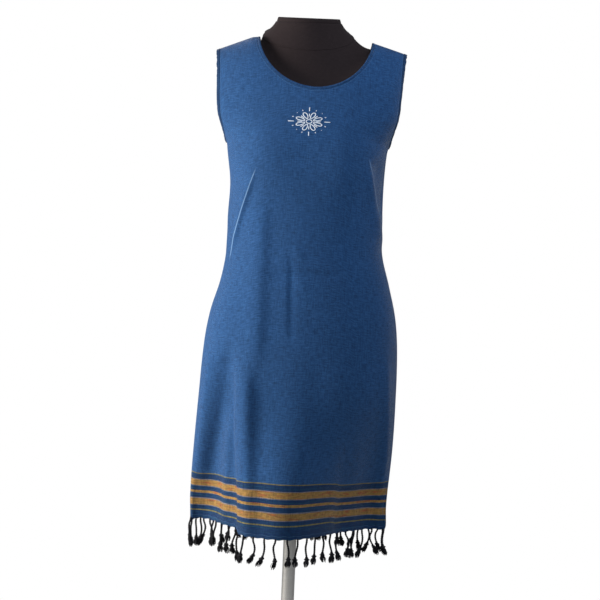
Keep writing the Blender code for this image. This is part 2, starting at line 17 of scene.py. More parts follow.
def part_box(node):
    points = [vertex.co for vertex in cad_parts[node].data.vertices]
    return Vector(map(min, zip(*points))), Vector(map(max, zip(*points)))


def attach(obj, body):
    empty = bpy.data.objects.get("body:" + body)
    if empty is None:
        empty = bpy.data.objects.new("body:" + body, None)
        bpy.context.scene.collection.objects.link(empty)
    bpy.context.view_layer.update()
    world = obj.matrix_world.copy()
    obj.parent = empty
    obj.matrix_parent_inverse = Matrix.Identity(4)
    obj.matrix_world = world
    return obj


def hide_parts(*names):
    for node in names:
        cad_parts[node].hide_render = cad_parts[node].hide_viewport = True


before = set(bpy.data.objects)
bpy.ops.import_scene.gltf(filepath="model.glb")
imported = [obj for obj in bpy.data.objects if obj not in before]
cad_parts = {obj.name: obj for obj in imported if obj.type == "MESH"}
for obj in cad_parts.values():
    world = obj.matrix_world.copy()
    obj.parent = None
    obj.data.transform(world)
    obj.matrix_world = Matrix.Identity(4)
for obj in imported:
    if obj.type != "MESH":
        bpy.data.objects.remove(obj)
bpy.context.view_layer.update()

print("solids:", len(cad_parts))

# %% [markdown]
# ## The camera
#
# The dress is seen from straight in front at half its height, and it leans a little to the right
# at the top. So the camera looks level along +Y, and it is rolled by that lean instead of turning
# the dress. Its angle follows from the scale at the dress and the distance, which keeps the
# perspective of the hem, where the front's middle hangs lower in the picture than the sides.

# %% Camera
PHOTO_PIXELS = 600
PIXELS_PER_METRE = 515.0
CAMERA_DISTANCE = 2.3
CAMERA_HEIGHT = 0.935
CAMERA_ROLL = math.radians(2.4)

bpy.ops.object.camera_add(location=(0.0, -CAMERA_DISTANCE, CAMERA_HEIGHT),
                          rotation=(math.radians(90), -CAMERA_ROLL, 0.0))
camera = bpy.context.object
camera.name = "studio_camera"
camera.data.angle = 2 * math.atan(PHOTO_PIXELS / 2 / PIXELS_PER_METRE / CAMERA_DISTANCE)
bpy.context.scene.camera = camera
print("camera angle:", round(math.degrees(camera.data.angle), 1), "degrees")

# %% [markdown]
# ## Small helpers for shaders
#
# Every finish here is a tree of shader nodes: noise for what is uneven, sums that set how strong it
# is, and mixes of colours. A few short functions add and link such nodes, so that each finish reads
# like a recipe later on, and the surroundings use them first.

# %% Shader helpers


def add_node(tree, kind, **settings):
    """Adds a shader node and sets its properties."""
    node = tree.nodes.new("ShaderNode" + kind)
    for setting, value in settings.items():
        setattr(node, setting, value)
    return node


def calculate(tree, operation, first, second=None, third=None, clamp=False):
    """A Math node on sockets or numbers; gives its output."""
    node = add_node(tree, "Math", operation=operation, use_clamp=clamp)
    for socket, value in zip(node.inputs, (first, second, third)):
        if isinstance(value, bpy.types.NodeSocket):
            tree.links.new(value, socket)
        elif value is not None:
            socket.default_value = value
    return node.outputs[0]


def mix_colours(tree, share, first, second, how="MIX"):
    """A colour mix of two sockets or colours; gives its output."""
    node = add_node(tree, "Mix", data_type="RGBA", blend_type=how)
    for socket, value in ((node.inputs[0], share), (node.inputs[6], first), (node.inputs[7], second)):
        if isinstance(value, bpy.types.NodeSocket):
            tree.links.new(value, socket)
        else:
            socket.default_value = value
    return node.outputs[2]


def contrast(tree, value, gain, offset):
    """Scales and shifts a value and keeps it between 0 and 1."""
    return calculate(tree, "MULTIPLY_ADD", value, gain, offset, clamp=True)


def cover(tree, under, over, mask, strength):
    """Lays one colour over another where a mask says, up to a strength."""
    return mix_colours(tree, calculate(tree, "MULTIPLY", mask, strength), under, over)


print("helpers for nodes, sums and mixes of colours")

# %% Material helpers


def start_material(name, roughness, metallic=0.0, specular=0.5):
    """A new material; gives it with its tree and Principled shader."""
    material = bpy.data.materials.new(name)
    material.use_nodes = True
    tree = material.node_tree
    shader = tree.nodes["Principled BSDF"]
    shader.inputs["Roughness"].default_value = roughness
    shader.inputs["Metallic"].default_value = metallic
    shader.inputs["Specular IOR Level"].default_value = specular
    return material, tree, shader


def own_place(tree):
    """The piece's own coordinates, in metres."""
    return add_node(tree, "TexCoord").outputs["Object"]


def stretched_noise(tree, coordinates, scales, detail=2.0):
    """Noise whose cells are stretched along the axes with the smaller scales; about 0 to 1."""
    mapping = add_node(tree, "Mapping")
    mapping.inputs["Scale"].default_value = scales
    tree.links.new(coordinates, mapping.inputs["Vector"])
    texture = add_node(tree, "TexNoise")
    texture.inputs["Scale"].default_value = 1.0
    texture.inputs["Detail"].default_value = detail
    tree.links.new(mapping.outputs["Vector"], texture.inputs["Vector"])
    return texture.outputs[0]


def add_bump(tree, shader, height, strength, distance):
    """Feeds a height into the shader's normal."""
    bump = add_node(tree, "Bump")
    bump.inputs["Strength"].default_value = strength
    bump.inputs["Distance"].default_value = distance
    tree.links.new(height, bump.inputs["Height"])
    tree.links.new(bump.outputs["Normal"], shader.inputs["Normal"])


def add_sheen(shader, weight, roughness, tint):
    """A weak sheen of short fibres."""
    shader.inputs["Sheen Weight"].default_value = weight
    shader.inputs["Sheen Roughness"].default_value = roughness
    shader.inputs["Sheen Tint"].default_value = tint


print("helpers for materials, noise, bumps and sheen")

# %% [markdown]
# ## Light
#
# A large soft key light stands low on the left, well round to the side, so that folds read as soft
# bands of light and the right side falls into shade. Two weaker lights above the front lift the
# chest, and a faint one on the right draws its edge. The surroundings look white to the camera and
# give almost no light, as a studio backdrop does that has its own lamps.

# %% Studio
# name, place, watts, colour
LIGHTS = (
    ("key_light", (-1.85, -0.38, 1.15), 67.0, (1.0, 0.95, 0.88)),
    ("front_light", (0.10, -1.50, 2.00), 4.0, (0.84, 0.92, 1.0)),
    ("top_light", (0.55, -0.80, 2.05), 8.6, (0.84, 0.92, 1.0)),
    ("edge_light", (1.80, -0.60, 1.50), 4.0, (0.85, 0.92, 1.0)),
)
LIGHT_SIZE = 0.8
LIGHT_AIM = Vector((0.0, 0.0, 1.0))
WHITE = (1.0, 1.0, 1.0, 1.0)
AMBIENT = 0.03
MIRRORED_WHITE = 0.25


def add_area_light(name, place, watts, colour):
    """A square area light that faces the dress."""
    place = Vector(place)
    turn = (LIGHT_AIM - place).to_track_quat("-Z", "Y").to_euler()
    bpy.ops.object.light_add(type="AREA", location=place, rotation=turn)
    light = bpy.context.object
    light.name = name
    light.data.shape = "SQUARE"
    light.data.size = LIGHT_SIZE
    light.data.energy = watts
    light.data.color = colour


for row in LIGHTS:
    add_area_light(*row)

world = bpy.data.worlds.new("white_studio")
bpy.context.scene.world = world
world.use_nodes = True
surroundings = world.node_tree
seen = surroundings.nodes["Background"]
given = add_node(surroundings, "Background")
for background, strength in ((seen, 1.0), (given, AMBIENT)):
    background.inputs["Strength"].default_value = strength
    background.inputs["Color"].default_value = WHITE
rays = add_node(surroundings, "LightPath").outputs
whiteness = calculate(surroundings, "MULTIPLY_ADD", rays["Is Glossy Ray"], MIRRORED_WHITE,
                      rays["Is Camera Ray"], clamp=True)
choice = add_node(surroundings, "MixShader")
for output, socket in zip((whiteness, given.outputs[0], seen.outputs[0]), choice.inputs):
    surroundings.links.new(output, socket)
surroundings.links.new(choice.outputs[0], surroundings.nodes["World Output"].inputs["Surface"])
bpy.context.scene.view_settings.view_transform = "Standard"

# %% [markdown]
# ## The floor
#
# A plain disc lies just under the stand. Its paint is matt and nearly white. Soft patches of two
# close greys keep it from looking like an empty plane, and they are too faint to draw the eye from
# the dress.

# %% Floor
FLOOR_RADIUS = 1.25
FLOOR_STEPS = 128
FLOOR_DROP = 0.0005


def make_floor_paint():
    """Matt pale paint, a little uneven."""
    material, tree, shader = start_material("pale floor paint", roughness=0.85, specular=0.2)
    patches = stretched_noise(tree, own_place(tree), (3.0, 3.0, 3.0), detail=4.0)
    colour = mix_colours(tree, patches, (0.780, 0.780, 0.775, 1.0), (0.860, 0.860, 0.865, 1.0))
    tree.links.new(colour, shader.inputs["Base Color"])
    return material


bpy.ops.mesh.primitive_circle_add(vertices=FLOOR_STEPS, radius=FLOOR_RADIUS, fill_type="NGON",
                                  location=(0.0, 0.0, -FLOOR_DROP))
floor = bpy.context.object
floor.name = "studio_floor"
floor.data.materials.append(make_floor_paint())
print("floor:", floor.data.materials[0].name)

# %% [markdown]
# ## The cut, in numbers
#
# Every piece here has to lie where its solid does, so the dress's own sizes come first: its half
# widths and depths at some heights, the line of the armholes, the fullness over the bust and the
# skirt's folds. A smooth curve through each column gives the sizes in between.

# %% Sizes of the dress
HEM_HEIGHT = 0.500
SLIT_TOP = 0.743
UNDERARM_HEIGHT = 1.234
TURN_HEIGHT = 1.305
NECK_POINT_HEIGHT = 1.440
FRONT_NECK_HEIGHT = 1.327
BACK_NECK_HEIGHT = 1.396
WALL = 0.0015
SEAM_HALF = 0.00015
NECK_HALF_WIDTH = 0.1125
LEFT_SHOULDER_SLOPE = 0.385
RIGHT_SHOULDER_SLOPE = 0.285
CREST_SLOPE = 0.10
ARMHOLE_DEPTH_SHARE = 0.50
ROUNDNESS = 0.8
SHOULDER_HALF_WIDTH = 0.1755
NECK_SHIFT = 0.012
SHIFT_START = -0.2
SLIT_PARTING = 0.0030
SLIT_REACH = 10
TURN_START = 0.21
FLARE_TOP = 0.800
FRONT_FLARE = 1.0
BACK_FLARE = 0.6
HEM_SHIFT = -0.020

# height, left half width, right half width, front depth, back depth
SECTIONS = (
    (0.500, 0.1930, 0.1840, 0.150, 0.150),
    (0.550, 0.1955, 0.1840, 0.149, 0.150),
    (0.650, 0.1925, 0.1910, 0.146, 0.149),
    (0.750, 0.1875, 0.1930, 0.142, 0.148),
    (0.850, 0.1815, 0.1915, 0.136, 0.145),
    (0.910, 0.1720, 0.1850, 0.131, 0.138),
    (0.970, 0.1550, 0.1705, 0.124, 0.125),
    (1.030, 0.1460, 0.1550, 0.117, 0.112),
    (1.100, 0.1465, 0.1530, 0.114, 0.105),
    (1.160, 0.1450, 0.1530, 0.117, 0.105),
    (1.220, 0.1525, 0.1560, 0.118, 0.107),
    (1.234, 0.1542, 0.1585, 0.117, 0.1065),
    (1.305, 0.1690, 0.1730, 0.106, 0.105),
)

print("dress length:", round((NECK_POINT_HEIGHT - HEM_HEIGHT) * 100, 1), "cm")

# %% Armholes, bust and folds
# height, left half width, right half width
ARMHOLES = (
    (1.234, 0.1542, 0.1585),
    (1.260, 0.1600, 0.1640),
    (1.285, 0.1660, 0.1700),
    (1.320, 0.1690, 0.1730),
    (1.360, 0.1705, 0.1755),
    (1.395, 0.1725, 0.1780),
    (1.419, 0.1740, 0.1800),
)

BUST_RISE = 0.011
BUST_HALF_SPACING = 0.088
BUST_HEIGHT = 1.195
BUST_HALF_WIDTH = 0.052
BUST_HALF_HEIGHT = 0.072
BUST_EDGE_SHARE = 0.35

# side (-1 front, 1 back), top, full height, across at top, across at hem, rise, half width
FOLDS = (
    (-1, 0.88, 0.66, -0.74, -0.80, 0.0050, 0.085),
    (-1, 0.86, 0.66, -0.52, -0.56, -0.0070, 0.085),
    (-1, 0.82, 0.60, -0.36, -0.23, 0.0065, 0.075),
    (-1, 0.80, 0.56, 0.36, 0.52, 0.0060, 0.100),
    (-1, 0.84, 0.66, 0.72, 0.82, 0.0045, 0.080),
    (1, 0.90, 0.64, -0.62, -0.70, 0.0060, 0.100),
    (1, 0.88, 0.62, -0.38, -0.42, -0.0070, 0.095),
    (1, 0.84, 0.60, 0.10, 0.16, 0.0050, 0.110),
    (1, 0.88, 0.64, 0.52, 0.56, -0.0065, 0.095),
    (1, 0.82, 0.62, 0.78, 0.80, 0.0050, 0.080),
)
print("folds:", len(FOLDS), "and armholes of", round(ARMHOLES[-1][0] - ARMHOLES[0][0], 3), "m")

# %% Reading the tables


def blend(start, end, share):
    """A value on the way from start to end."""
    return start + (end - start) * share


def smooth_step(value):
    """Rises softly from 0 to 1 as the value does."""
    value = min(1.0, max(0.0, value))
    return value * value * (3.0 - 2.0 * value)


def slope_at(table, row, column):
    """The slope of a column at one of a table's rows, from the rows on both sides."""
    before = table[max(row - 1, 0)]
    after = table[min(row + 1, len(table) - 1)]
    return (after[column] - before[column]) / (after[0] - before[0])


def read_table(table, height, column):
    """Reads a column on a smooth curve through the rows, whose first column is the height."""
    height = min(table[-1][0], max(table[0][0], height))
    row = 0
    while row < len(table) - 2 and height > table[row + 1][0]:
        row += 1
    low, high = table[row], table[row + 1]
    run = high[0] - low[0]
    t = (height - low[0]) / run
    return ((2 * t ** 3 - 3 * t ** 2 + 1) * low[column] + (3 * t ** 2 - 2 * t ** 3) * high[column]
            + (t ** 3 - 2 * t ** 2 + t) * run * slope_at(table, row, column)
            + (t ** 3 - t ** 2) * run * slope_at(table, row + 1, column))


waist_depth = sum(read_table(SECTIONS, 1.03, column) for column in (3, 4))
print("waist, front to back:", round(waist_depth, 3), "m")

# %% [markdown]
# ## The cloth's surface as a function
#
# A worn dress is one surface wrapped round a figure. The simplest exact way to have it at any
# fineness is a function of two numbers: the share across, from one side seam to the other, and the
# level, from the hem through the underarm and up over the shoulder. Panels, bindings, stitches and
# fringe all ask this one function, so they always meet.

# %% Shoulders, folds and bust


def crest_height(x):
    """The height of the shoulder line at a distance from the middle, which rises to the neck."""
    past_neck = abs(x) - NECK_HALF_WIDTH
    slope = LEFT_SHOULDER_SLOPE if x < 0 else RIGHT_SHOULDER_SLOPE
    return NECK_POINT_HEIGHT - past_neck * (slope if past_neck > 0 else CREST_SLOPE)


def turn_angle(depth_share):
    """The angle round a section at which its depth has fallen to a share of the middle's."""
    return math.acos(depth_share ** (1.0 / ROUNDNESS))


def fold_rise(side, share, height):
    """How far the skirt's folds lift the cloth at a place."""
    rise = 0.0
    for fold_side, top, full, at_top, at_hem, depth, half_width in FOLDS:
        if fold_side == side and height < top:
            strength = smooth_step((top - height) / (top - full))
            middle = blend(at_top, at_hem, (top - height) / (top - HEM_HEIGHT))
            rise += depth * strength * math.exp(-((share - middle) / half_width) ** 2)
    return rise


def bust_rise(x, height):
    """The soft fullness that the cut gives over the bust."""
    across = (abs(x) - BUST_HALF_SPACING) / BUST_HALF_WIDTH
    up = (height - BUST_HEIGHT) / BUST_HALF_HEIGHT
    return BUST_RISE * math.exp(-across ** 2 - up ** 2)


print("shoulder tips at", [round(crest_height(x), 3) for x in (-0.174, 0.180)], "m")

# %% The surface


def dress_point(side, share, level):
    """A point on the cloth's outer face.

    Side is -1 in front and 1 behind. Share runs from -1 at the left edge to 1 at the right one, and
    level from -1 at the hem through 0 at the underarm and 1, where the cloth turns, to 2 on top.
    """
    turn = blend(TURN_START, math.pi / 2, max(0.0, level - 1.0))
    risen = (math.sin(turn) - math.sin(TURN_START)) / (1.0 - math.sin(TURN_START))
    if level <= 0:
        height = blend(UNDERARM_HEIGHT, HEM_HEIGHT, -level)
        left, right = (read_table(SECTIONS, height, item) for item in (1, 2))
        edge_angle = math.pi / 2
    else:
        height = blend(UNDERARM_HEIGHT, TURN_HEIGHT, min(level, 1.0))
        tip = crest_height(ARMHOLES[-1][1])
        edge_height = height if level <= 1 else blend(TURN_HEIGHT, tip, risen)
        left, right = (read_table(ARMHOLES, edge_height, item) for item in (1, 2))
        rounding = math.sqrt(level * (2.0 - level)) if level <= 1 else 1.0
        edge_angle = turn_angle(ARMHOLE_DEPTH_SHARE * rounding)
    upright = math.cos(turn) / math.cos(TURN_START)
    reach = read_table(SECTIONS, height, 3 if side < 0 else 4) * upright

    across = math.sin(edge_angle * share) / math.sin(edge_angle)
    forward = math.cos(edge_angle * share) ** ROUNDNESS
    flare = smooth_step((FLARE_TOP - height) / (FLARE_TOP - HEM_HEIGHT))
    flare *= FRONT_FLARE if side < 0 else BACK_FLARE
    forward = blend(forward, 0.5 + 0.5 * math.cos(math.pi * across), flare)
    x = across * (left if share < 0 else right)
    shift = NECK_SHIFT * smooth_step((level - SHIFT_START) / (1.0 - SHIFT_START))
    x += (shift + HEM_SHIFT * flare) * (1.0 - share ** 2)
    depth = reach * forward
    if side < 0:
        depth += bust_rise(x, height) * upright * smooth_step((1.0 - abs(share)) / BUST_EDGE_SHARE)
    if level > 1:
        height = blend(TURN_HEIGHT, crest_height(x), risen)

    rise = fold_rise(side, share, height)
    x += rise * across * (1.0 - flare)
    depth += rise * blend(forward, 1.0, flare) + SEAM_HALF
    if height < SLIT_TOP:
        parting = ((SLIT_TOP - height) / (SLIT_TOP - HEM_HEIGHT)) ** 2
        depth += SLIT_PARTING * parting * abs(share) ** SLIT_REACH
    return Vector((x, side * depth, height))


print("bust point:", [round(value, 3) for value in dress_point(-1, -0.4, -0.03)])

# %% [markdown]
# ## Where the panels' edges run
#
# A panel starts as a plain grid. Its rows and columns are laid so that the neckline, the armholes,
# the side seams and the hem all run along grid lines: the middle columns fan out under the neck's
# bowl, and a notch of cells above it is left out. The fine grid divides each coarse cell further.

# %% Grid places
HALF_COLUMNS = 14
NECK_COLUMNS = 6
BODY_ROWS = 18
CHEST_ROWS = 6
STRAP_ROWS = 7
BOWL_ROW = BODY_ROWS + CHEST_ROWS
TOP_ROW = BOWL_ROW + STRAP_ROWS
CHEST_ROW_POWER = 1.6
FAN_START = -0.5
BOWL_ANGLE = math.radians(48)
CELLS_ACROSS = 6
CELLS_UP = 7
COLUMNS = 2 * HALF_COLUMNS * CELLS_ACROSS
ROWS = TOP_ROW * CELLS_UP


def share_at(across):
    """The share of a row's turn that lies at a distance from the middle, near the shoulders."""
    edge_angle = turn_angle(ARMHOLE_DEPTH_SHARE)
    return math.asin(across / SHOULDER_HALF_WIDTH * math.sin(edge_angle)) / edge_angle


def neck_level(side, angle):
    """The level of the neckline at an angle round its half oval, 0 at the lowest point."""
    lowest = FRONT_NECK_HEIGHT if side < 0 else BACK_NECK_HEIGHT
    height = blend(NECK_POINT_HEIGHT, lowest, math.cos(angle))
    crest = crest_height(NECK_HALF_WIDTH * math.sin(angle))
    risen = blend(math.sin(TURN_START), 1.0, (height - TURN_HEIGHT) / (crest - TURN_HEIGHT))
    return 1.0 + (math.asin(min(1.0, risen)) - TURN_START) / (math.pi / 2 - TURN_START)


def neck_angle(row, column):
    """The angle round the neckline of one of its places: its bowl below, then its two sides."""
    if abs(column) < NECK_COLUMNS or row <= BOWL_ROW:
        return BOWL_ANGLE * abs(column) / NECK_COLUMNS
    return blend(BOWL_ANGLE, math.pi / 2, (row - BOWL_ROW) / STRAP_ROWS)


def grid_place(side, row, column):
    """The share across and the level of a grid point, both worked out from its row and column."""
    steps = abs(column)
    angle = neck_angle(row, min(steps, NECK_COLUMNS))
    top_level = neck_level(side, angle)
    top_share = share_at(NECK_HALF_WIDTH * math.sin(angle))
    if steps > NECK_COLUMNS:
        top_share = blend(top_share, 1.0, (steps - NECK_COLUMNS) / (HALF_COLUMNS - NECK_COLUMNS))
    if row <= BODY_ROWS:
        level = row / BODY_ROWS - 1.0
    else:
        level = top_level * min(1.0, (row - BODY_ROWS) / CHEST_ROWS) ** CHEST_ROW_POWER
    fanned = smooth_step((level - FAN_START) / (top_level - FAN_START))
    return math.copysign(blend(steps / HALF_COLUMNS, top_share, fanned), column), level


def in_notch(spot):
    """Whether a corner of the fine grid lies in the neck's opening."""
    column, row = spot
    above = row > BOWL_ROW * CELLS_UP
    return above and abs(column - COLUMNS // 2) < NECK_COLUMNS * CELLS_ACROSS


print("cells of a panel's grid:", COLUMNS, "x", ROWS)

# %% [markdown]
# ## One helper for every mapped piece
#
# Cloth, cord and turned shapes have one thing in common: each is a grid laid onto a form. So one
# helper adds the grid primitive, deletes the cells that the piece doesn't have, and moves each
# corner to its place. A tube is a grid whose first and last columns meet and are merged.

# %% Mapped grids
MERGE_DISTANCE = 0.00001


def even_turns(count):
    """The angles of even steps once round."""
    return [2 * math.pi * i / count for i in range(count)]


def select_only(piece):
    """Makes one object the only one selected, and the active one."""
    bpy.ops.object.select_all(action="DESELECT")
    piece.select_set(True)
    bpy.context.view_layer.objects.active = piece


def mapped_grid(name, columns, rows, place, drop=None):
    """A grid primitive moved corner by corner; gives the piece and each corner's (column, row)."""
    bpy.ops.object.select_all(action="DESELECT")
    bpy.ops.mesh.primitive_grid_add(x_subdivisions=columns, y_subdivisions=rows, size=1.0)
    piece = bpy.context.object
    piece.name = piece.data.name = name
    if drop:
        bpy.ops.object.mode_set(mode="EDIT")
        bpy.ops.mesh.select_mode(type="VERT")
        bpy.ops.mesh.select_all(action="DESELECT")
        bpy.ops.object.mode_set(mode="OBJECT")
        for vert in piece.data.vertices:
            vert.select = drop(spot_of(vert, columns, rows))
        bpy.ops.object.mode_set(mode="EDIT")
        bpy.ops.mesh.delete(type="VERT")
        bpy.ops.object.mode_set(mode="OBJECT")
    spots = [spot_of(vert, columns, rows) for vert in piece.data.vertices]
    for vert, spot in zip(piece.data.vertices, spots):
        vert.co = place(*spot)
    piece.data.update()
    return piece, spots


def spot_of(vert, columns, rows):
    """The column and row of a corner that still lies in the flat grid."""
    return round((vert.co.x + 0.5) * columns), round((vert.co.y + 0.5) * rows)


def edit_all(piece):
    """Opens a piece in edit mode with all of it selected."""
    select_only(piece)
    bpy.ops.object.mode_set(mode="EDIT")
    bpy.ops.mesh.select_all(action="SELECT")


print("corners closer than", MERGE_DISTANCE, "m are merged")

# %% Finishing helpers


def close_up(piece):
    """Merges the corners that meet and turns all faces outward."""
    edit_all(piece)
    bpy.ops.mesh.remove_doubles(threshold=MERGE_DISTANCE)
    bpy.ops.mesh.normals_make_consistent(inside=False)
    bpy.ops.object.mode_set(mode="OBJECT")


def apply_modifier(piece, kind, **settings):
    """Adds a modifier, sets it and applies it."""
    select_only(piece)
    modifier = piece.modifiers.new(kind.title(), kind)
    for setting, value in settings.items():
        setattr(modifier, setting, value)
    bpy.ops.object.modifier_apply(modifier=modifier.name)


def smooth_by_angle(piece, degrees):
    """Smooth shading that keeps the edges sharper than an angle."""
    select_only(piece)
    bpy.ops.object.shade_smooth_by_angle(angle=math.radians(degrees))


def join_into(name, pieces):
    """Joins pieces into one named object."""
    bpy.ops.object.select_all(action="DESELECT")
    for piece in pieces:
        piece.select_set(True)
    bpy.context.view_layer.objects.active = pieces[0]
    bpy.ops.object.join()
    pieces[0].name = pieces[0].data.name = name
    return pieces[0]


def dress_up(piece, material, slot, *nodes):
    """Gives a piece its material, ties it to the body and hides the solids it stands for; slot is not
    used.
    """
    piece.data.materials.clear()
    piece.data.materials.append(material)
    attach(piece, "root")
    if nodes:
        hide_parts(*nodes)
    print(piece.name + ":", len(piece.data.polygons), "faces")


# %% [markdown]
# ## The weave as a shader group
#
# Plain weave is a checker of threads: at each crossing either the black warp or the coloured weft
# lies on top. A product of two sine waves gives that checker, its size gives the thread's height,
# and stretched noise along each thread direction gives the slubs that make such handwoven cotton
# look alive. Both kinds of cloth here use it, so it is one group with named inputs and outputs.

# %% The weave
THREAD_SPACING = 0.00045
WARP_CONTRAST = 1.5
SLUB_SCALES = (90.0, 430.0, 1.0)
SLUB_HEIGHT = 1.6
STREAK_SCALES = (430.0, 62.0, 1.0)


def new_group(name, inputs, outputs):
    """A shader node group with sockets; inputs are (name, kind, default), outputs (name, kind)."""
    group = bpy.data.node_groups.new(name, "ShaderNodeTree")
    for label, kind, default in inputs:
        socket = group.interface.new_socket(label, in_out="INPUT", socket_type="NodeSocket" + kind)
        if default is not None:
            socket.default_value = default
    for label, kind in outputs:
        group.interface.new_socket(label, in_out="OUTPUT", socket_type="NodeSocket" + kind)
    return group, group.nodes.new("NodeGroupInput"), group.nodes.new("NodeGroupOutput")


def make_weave_group():
    """Plain weave on a map in metres: which thread is on top, how high it is, and its slubs."""
    group, given, result = new_group(
        "plain weave",
        [("Map", "Vector", None), ("Thread", "Float", THREAD_SPACING)],
        [("Warp", "Float"), ("Height", "Float"), ("Slub", "Float"), ("Streak", "Float")])
    split = add_node(group, "SeparateXYZ")
    group.links.new(given.outputs["Map"], split.inputs[0])
    waves = []
    for axis in ("X", "Y"):
        turns = calculate(group, "DIVIDE", split.outputs[axis], given.outputs["Thread"])
        waves.append(calculate(group, "SINE", calculate(group, "MULTIPLY", turns, math.pi)))
    checker = calculate(group, "MULTIPLY", waves[0], waves[1])
    warp = contrast(group, checker, WARP_CONTRAST, 0.5)
    slub = stretched_noise(group, given.outputs["Map"], SLUB_SCALES, detail=3.0)
    streak = stretched_noise(group, given.outputs["Map"], STREAK_SCALES, detail=3.0)
    rounded = calculate(group, "ABSOLUTE", checker)
    height = calculate(group, "MULTIPLY_ADD", slub, SLUB_HEIGHT, rounded)
    for label, value in (("Warp", warp), ("Height", height), ("Slub", slub), ("Streak", streak)):
        group.links.new(value, result.inputs[label])
    return group


WEAVE = make_weave_group()
print("group:", WEAVE.name, [item.name for item in WEAVE.interface.items_tree])

# %% [markdown]
# ## The border stripes
#
# The stripes are weft threads, so they follow the cloth and not the floor. Each panel's map holds
# the height above the hem along the cloth, and a colour ramp reads that height: black is the plain
# blue weft, red is ochre, green is the paler thread at the edge of a stripe and blue is the olive of
# the thin lines. A little noise lets each stripe's edge wander, as beaten-up threads do.

# %% Stripes
STRIPE_REACH = 0.125
# height above the hem in metres, weft from there up
STRIPES = (
    (0.0000, "blue"), (0.0208, "olive"), (0.0232, "blue"),
    (0.0308, "pale"), (0.0324, "ochre"), (0.0448, "pale"), (0.0464, "blue"),
    (0.0560, "pale"), (0.0566, "ochre"), (0.0612, "blue"),
    (0.0700, "pale"), (0.0716, "ochre"), (0.0838, "pale"), (0.0854, "blue"),
    (0.0962, "olive"), (0.0985, "blue"),
)
STRIPE_WANDER = 0.0011
WANDER_SCALES = (38.0, 900.0, 1.0)
STRIPE_CODES = {"blue": (0.0, 0.0, 0.0, 1.0), "ochre": (1.0, 0.0, 0.0, 1.0),
                "pale": (0.0, 1.0, 0.0, 1.0), "olive": (0.0, 0.0, 1.0, 1.0)}


def make_stripe_group():
    """Masks of each coloured weft and of the whole border, from a map whose Y is above the hem."""
    group, given, result = new_group(
        "border stripes", [("Map", "Vector", None)],
        [("Ochre", "Float"), ("Pale", "Float"), ("Olive", "Float"), ("Border", "Float")])
    split = add_node(group, "SeparateXYZ")
    group.links.new(given.outputs["Map"], split.inputs[0])
    wander = stretched_noise(group, given.outputs["Map"], WANDER_SCALES)
    shift = calculate(group, "MULTIPLY", calculate(group, "SUBTRACT", wander, 0.5), STRIPE_WANDER)
    height = calculate(group, "ADD", split.outputs["Y"], shift)
    share = calculate(group, "DIVIDE", height, STRIPE_REACH, clamp=True)
    ramp = add_node(group, "ValToRGB")
    ramp.color_ramp.interpolation = "CONSTANT"
    stops = ramp.color_ramp.elements
    ready = list(stops)
    for i, (start, weft) in enumerate(STRIPES):
        stop = ready[i] if i < len(ready) else stops.new(start / STRIPE_REACH)
        stop.position = start / STRIPE_REACH
        stop.color = STRIPE_CODES[weft]
    group.links.new(share, ramp.inputs[0])
    codes = add_node(group, "SeparateColor")
    group.links.new(ramp.outputs["Color"], codes.inputs[0])
    for code, label in zip(codes.outputs, ("Ochre", "Pale", "Olive")):
        group.links.new(code, result.inputs[label])
    border = calculate(group, "LESS_THAN", split.outputs["Y"], STRIPES[-1][0])
    group.links.new(border, result.inputs["Border"])
    return group


STRIPE_MASKS = make_stripe_group()
print("stripes up to", STRIPES[-1][0], "m above the hem")

# %% [markdown]
# ## The dress cloth
#
# The blue weft covers most of the black warp, so the cloth's colour is a blue that darkens at each
# warp crossing, lightens and darkens along each slub, and varies softly over the width. Along the
# border the weft is a deeper blue with some teal threads, and the ochre has patches of rust. Cotton
# has a dry, slightly fuzzy surface: high roughness, little gloss and a weak sheen at the edges.

# %% Border colours
WEFT_BLUE = (0.023, 0.093, 0.268, 1.0)
WEFT_OCHRE = (0.350, 0.215, 0.066, 1.0)
WEFT_RUST = (0.340, 0.105, 0.045, 1.0)
WEFT_OLIVE = (0.200, 0.185, 0.075, 1.0)
WEFT_PALE = (0.200, 0.200, 0.245, 1.0)
WARP_BLACK = (0.008, 0.012, 0.022, 1.0)
BORDER_BLUE = (0.006, 0.030, 0.108, 1.0)
BORDER_TEAL = (0.010, 0.062, 0.125, 1.0)
BORDER_DEPTH = 0.85
BORDER_THREADS = (9.0, 380.0, 1.0)
DYE_PATCHES = (34.0, 160.0, 1.0)


def place_group(tree, group, coordinates, **values):
    """Puts a node group on coordinates, with its own values."""
    node = add_node(tree, "Group", node_tree=group)
    tree.links.new(coordinates, node.inputs["Map"])
    for label, value in values.items():
        node.inputs[label].default_value = value
    return node


def striped_colour(tree, place, colour):
    """Lays the border's deep threads and its coloured wefts over the cloth's own colour."""
    masks = place_group(tree, STRIPE_MASKS, place).outputs
    teal = contrast(tree, stretched_noise(tree, place, BORDER_THREADS), gain=5.0, offset=-2.4)
    border = mix_colours(tree, teal, BORDER_BLUE, BORDER_TEAL)
    colour = cover(tree, colour, border, masks["Border"], BORDER_DEPTH)
    rusty = contrast(tree, stretched_noise(tree, place, DYE_PATCHES, detail=3.0), gain=6.0, offset=-3.2)
    ochre = mix_colours(tree, rusty, WEFT_OCHRE, WEFT_RUST)
    for label, weft in (("Ochre", ochre), ("Pale", WEFT_PALE), ("Olive", WEFT_OLIVE)):
        colour = mix_colours(tree, masks[label], colour, weft)
    return colour


print("border colours laid over the blue:", len(STRIPES) - 1, "changes of weft")

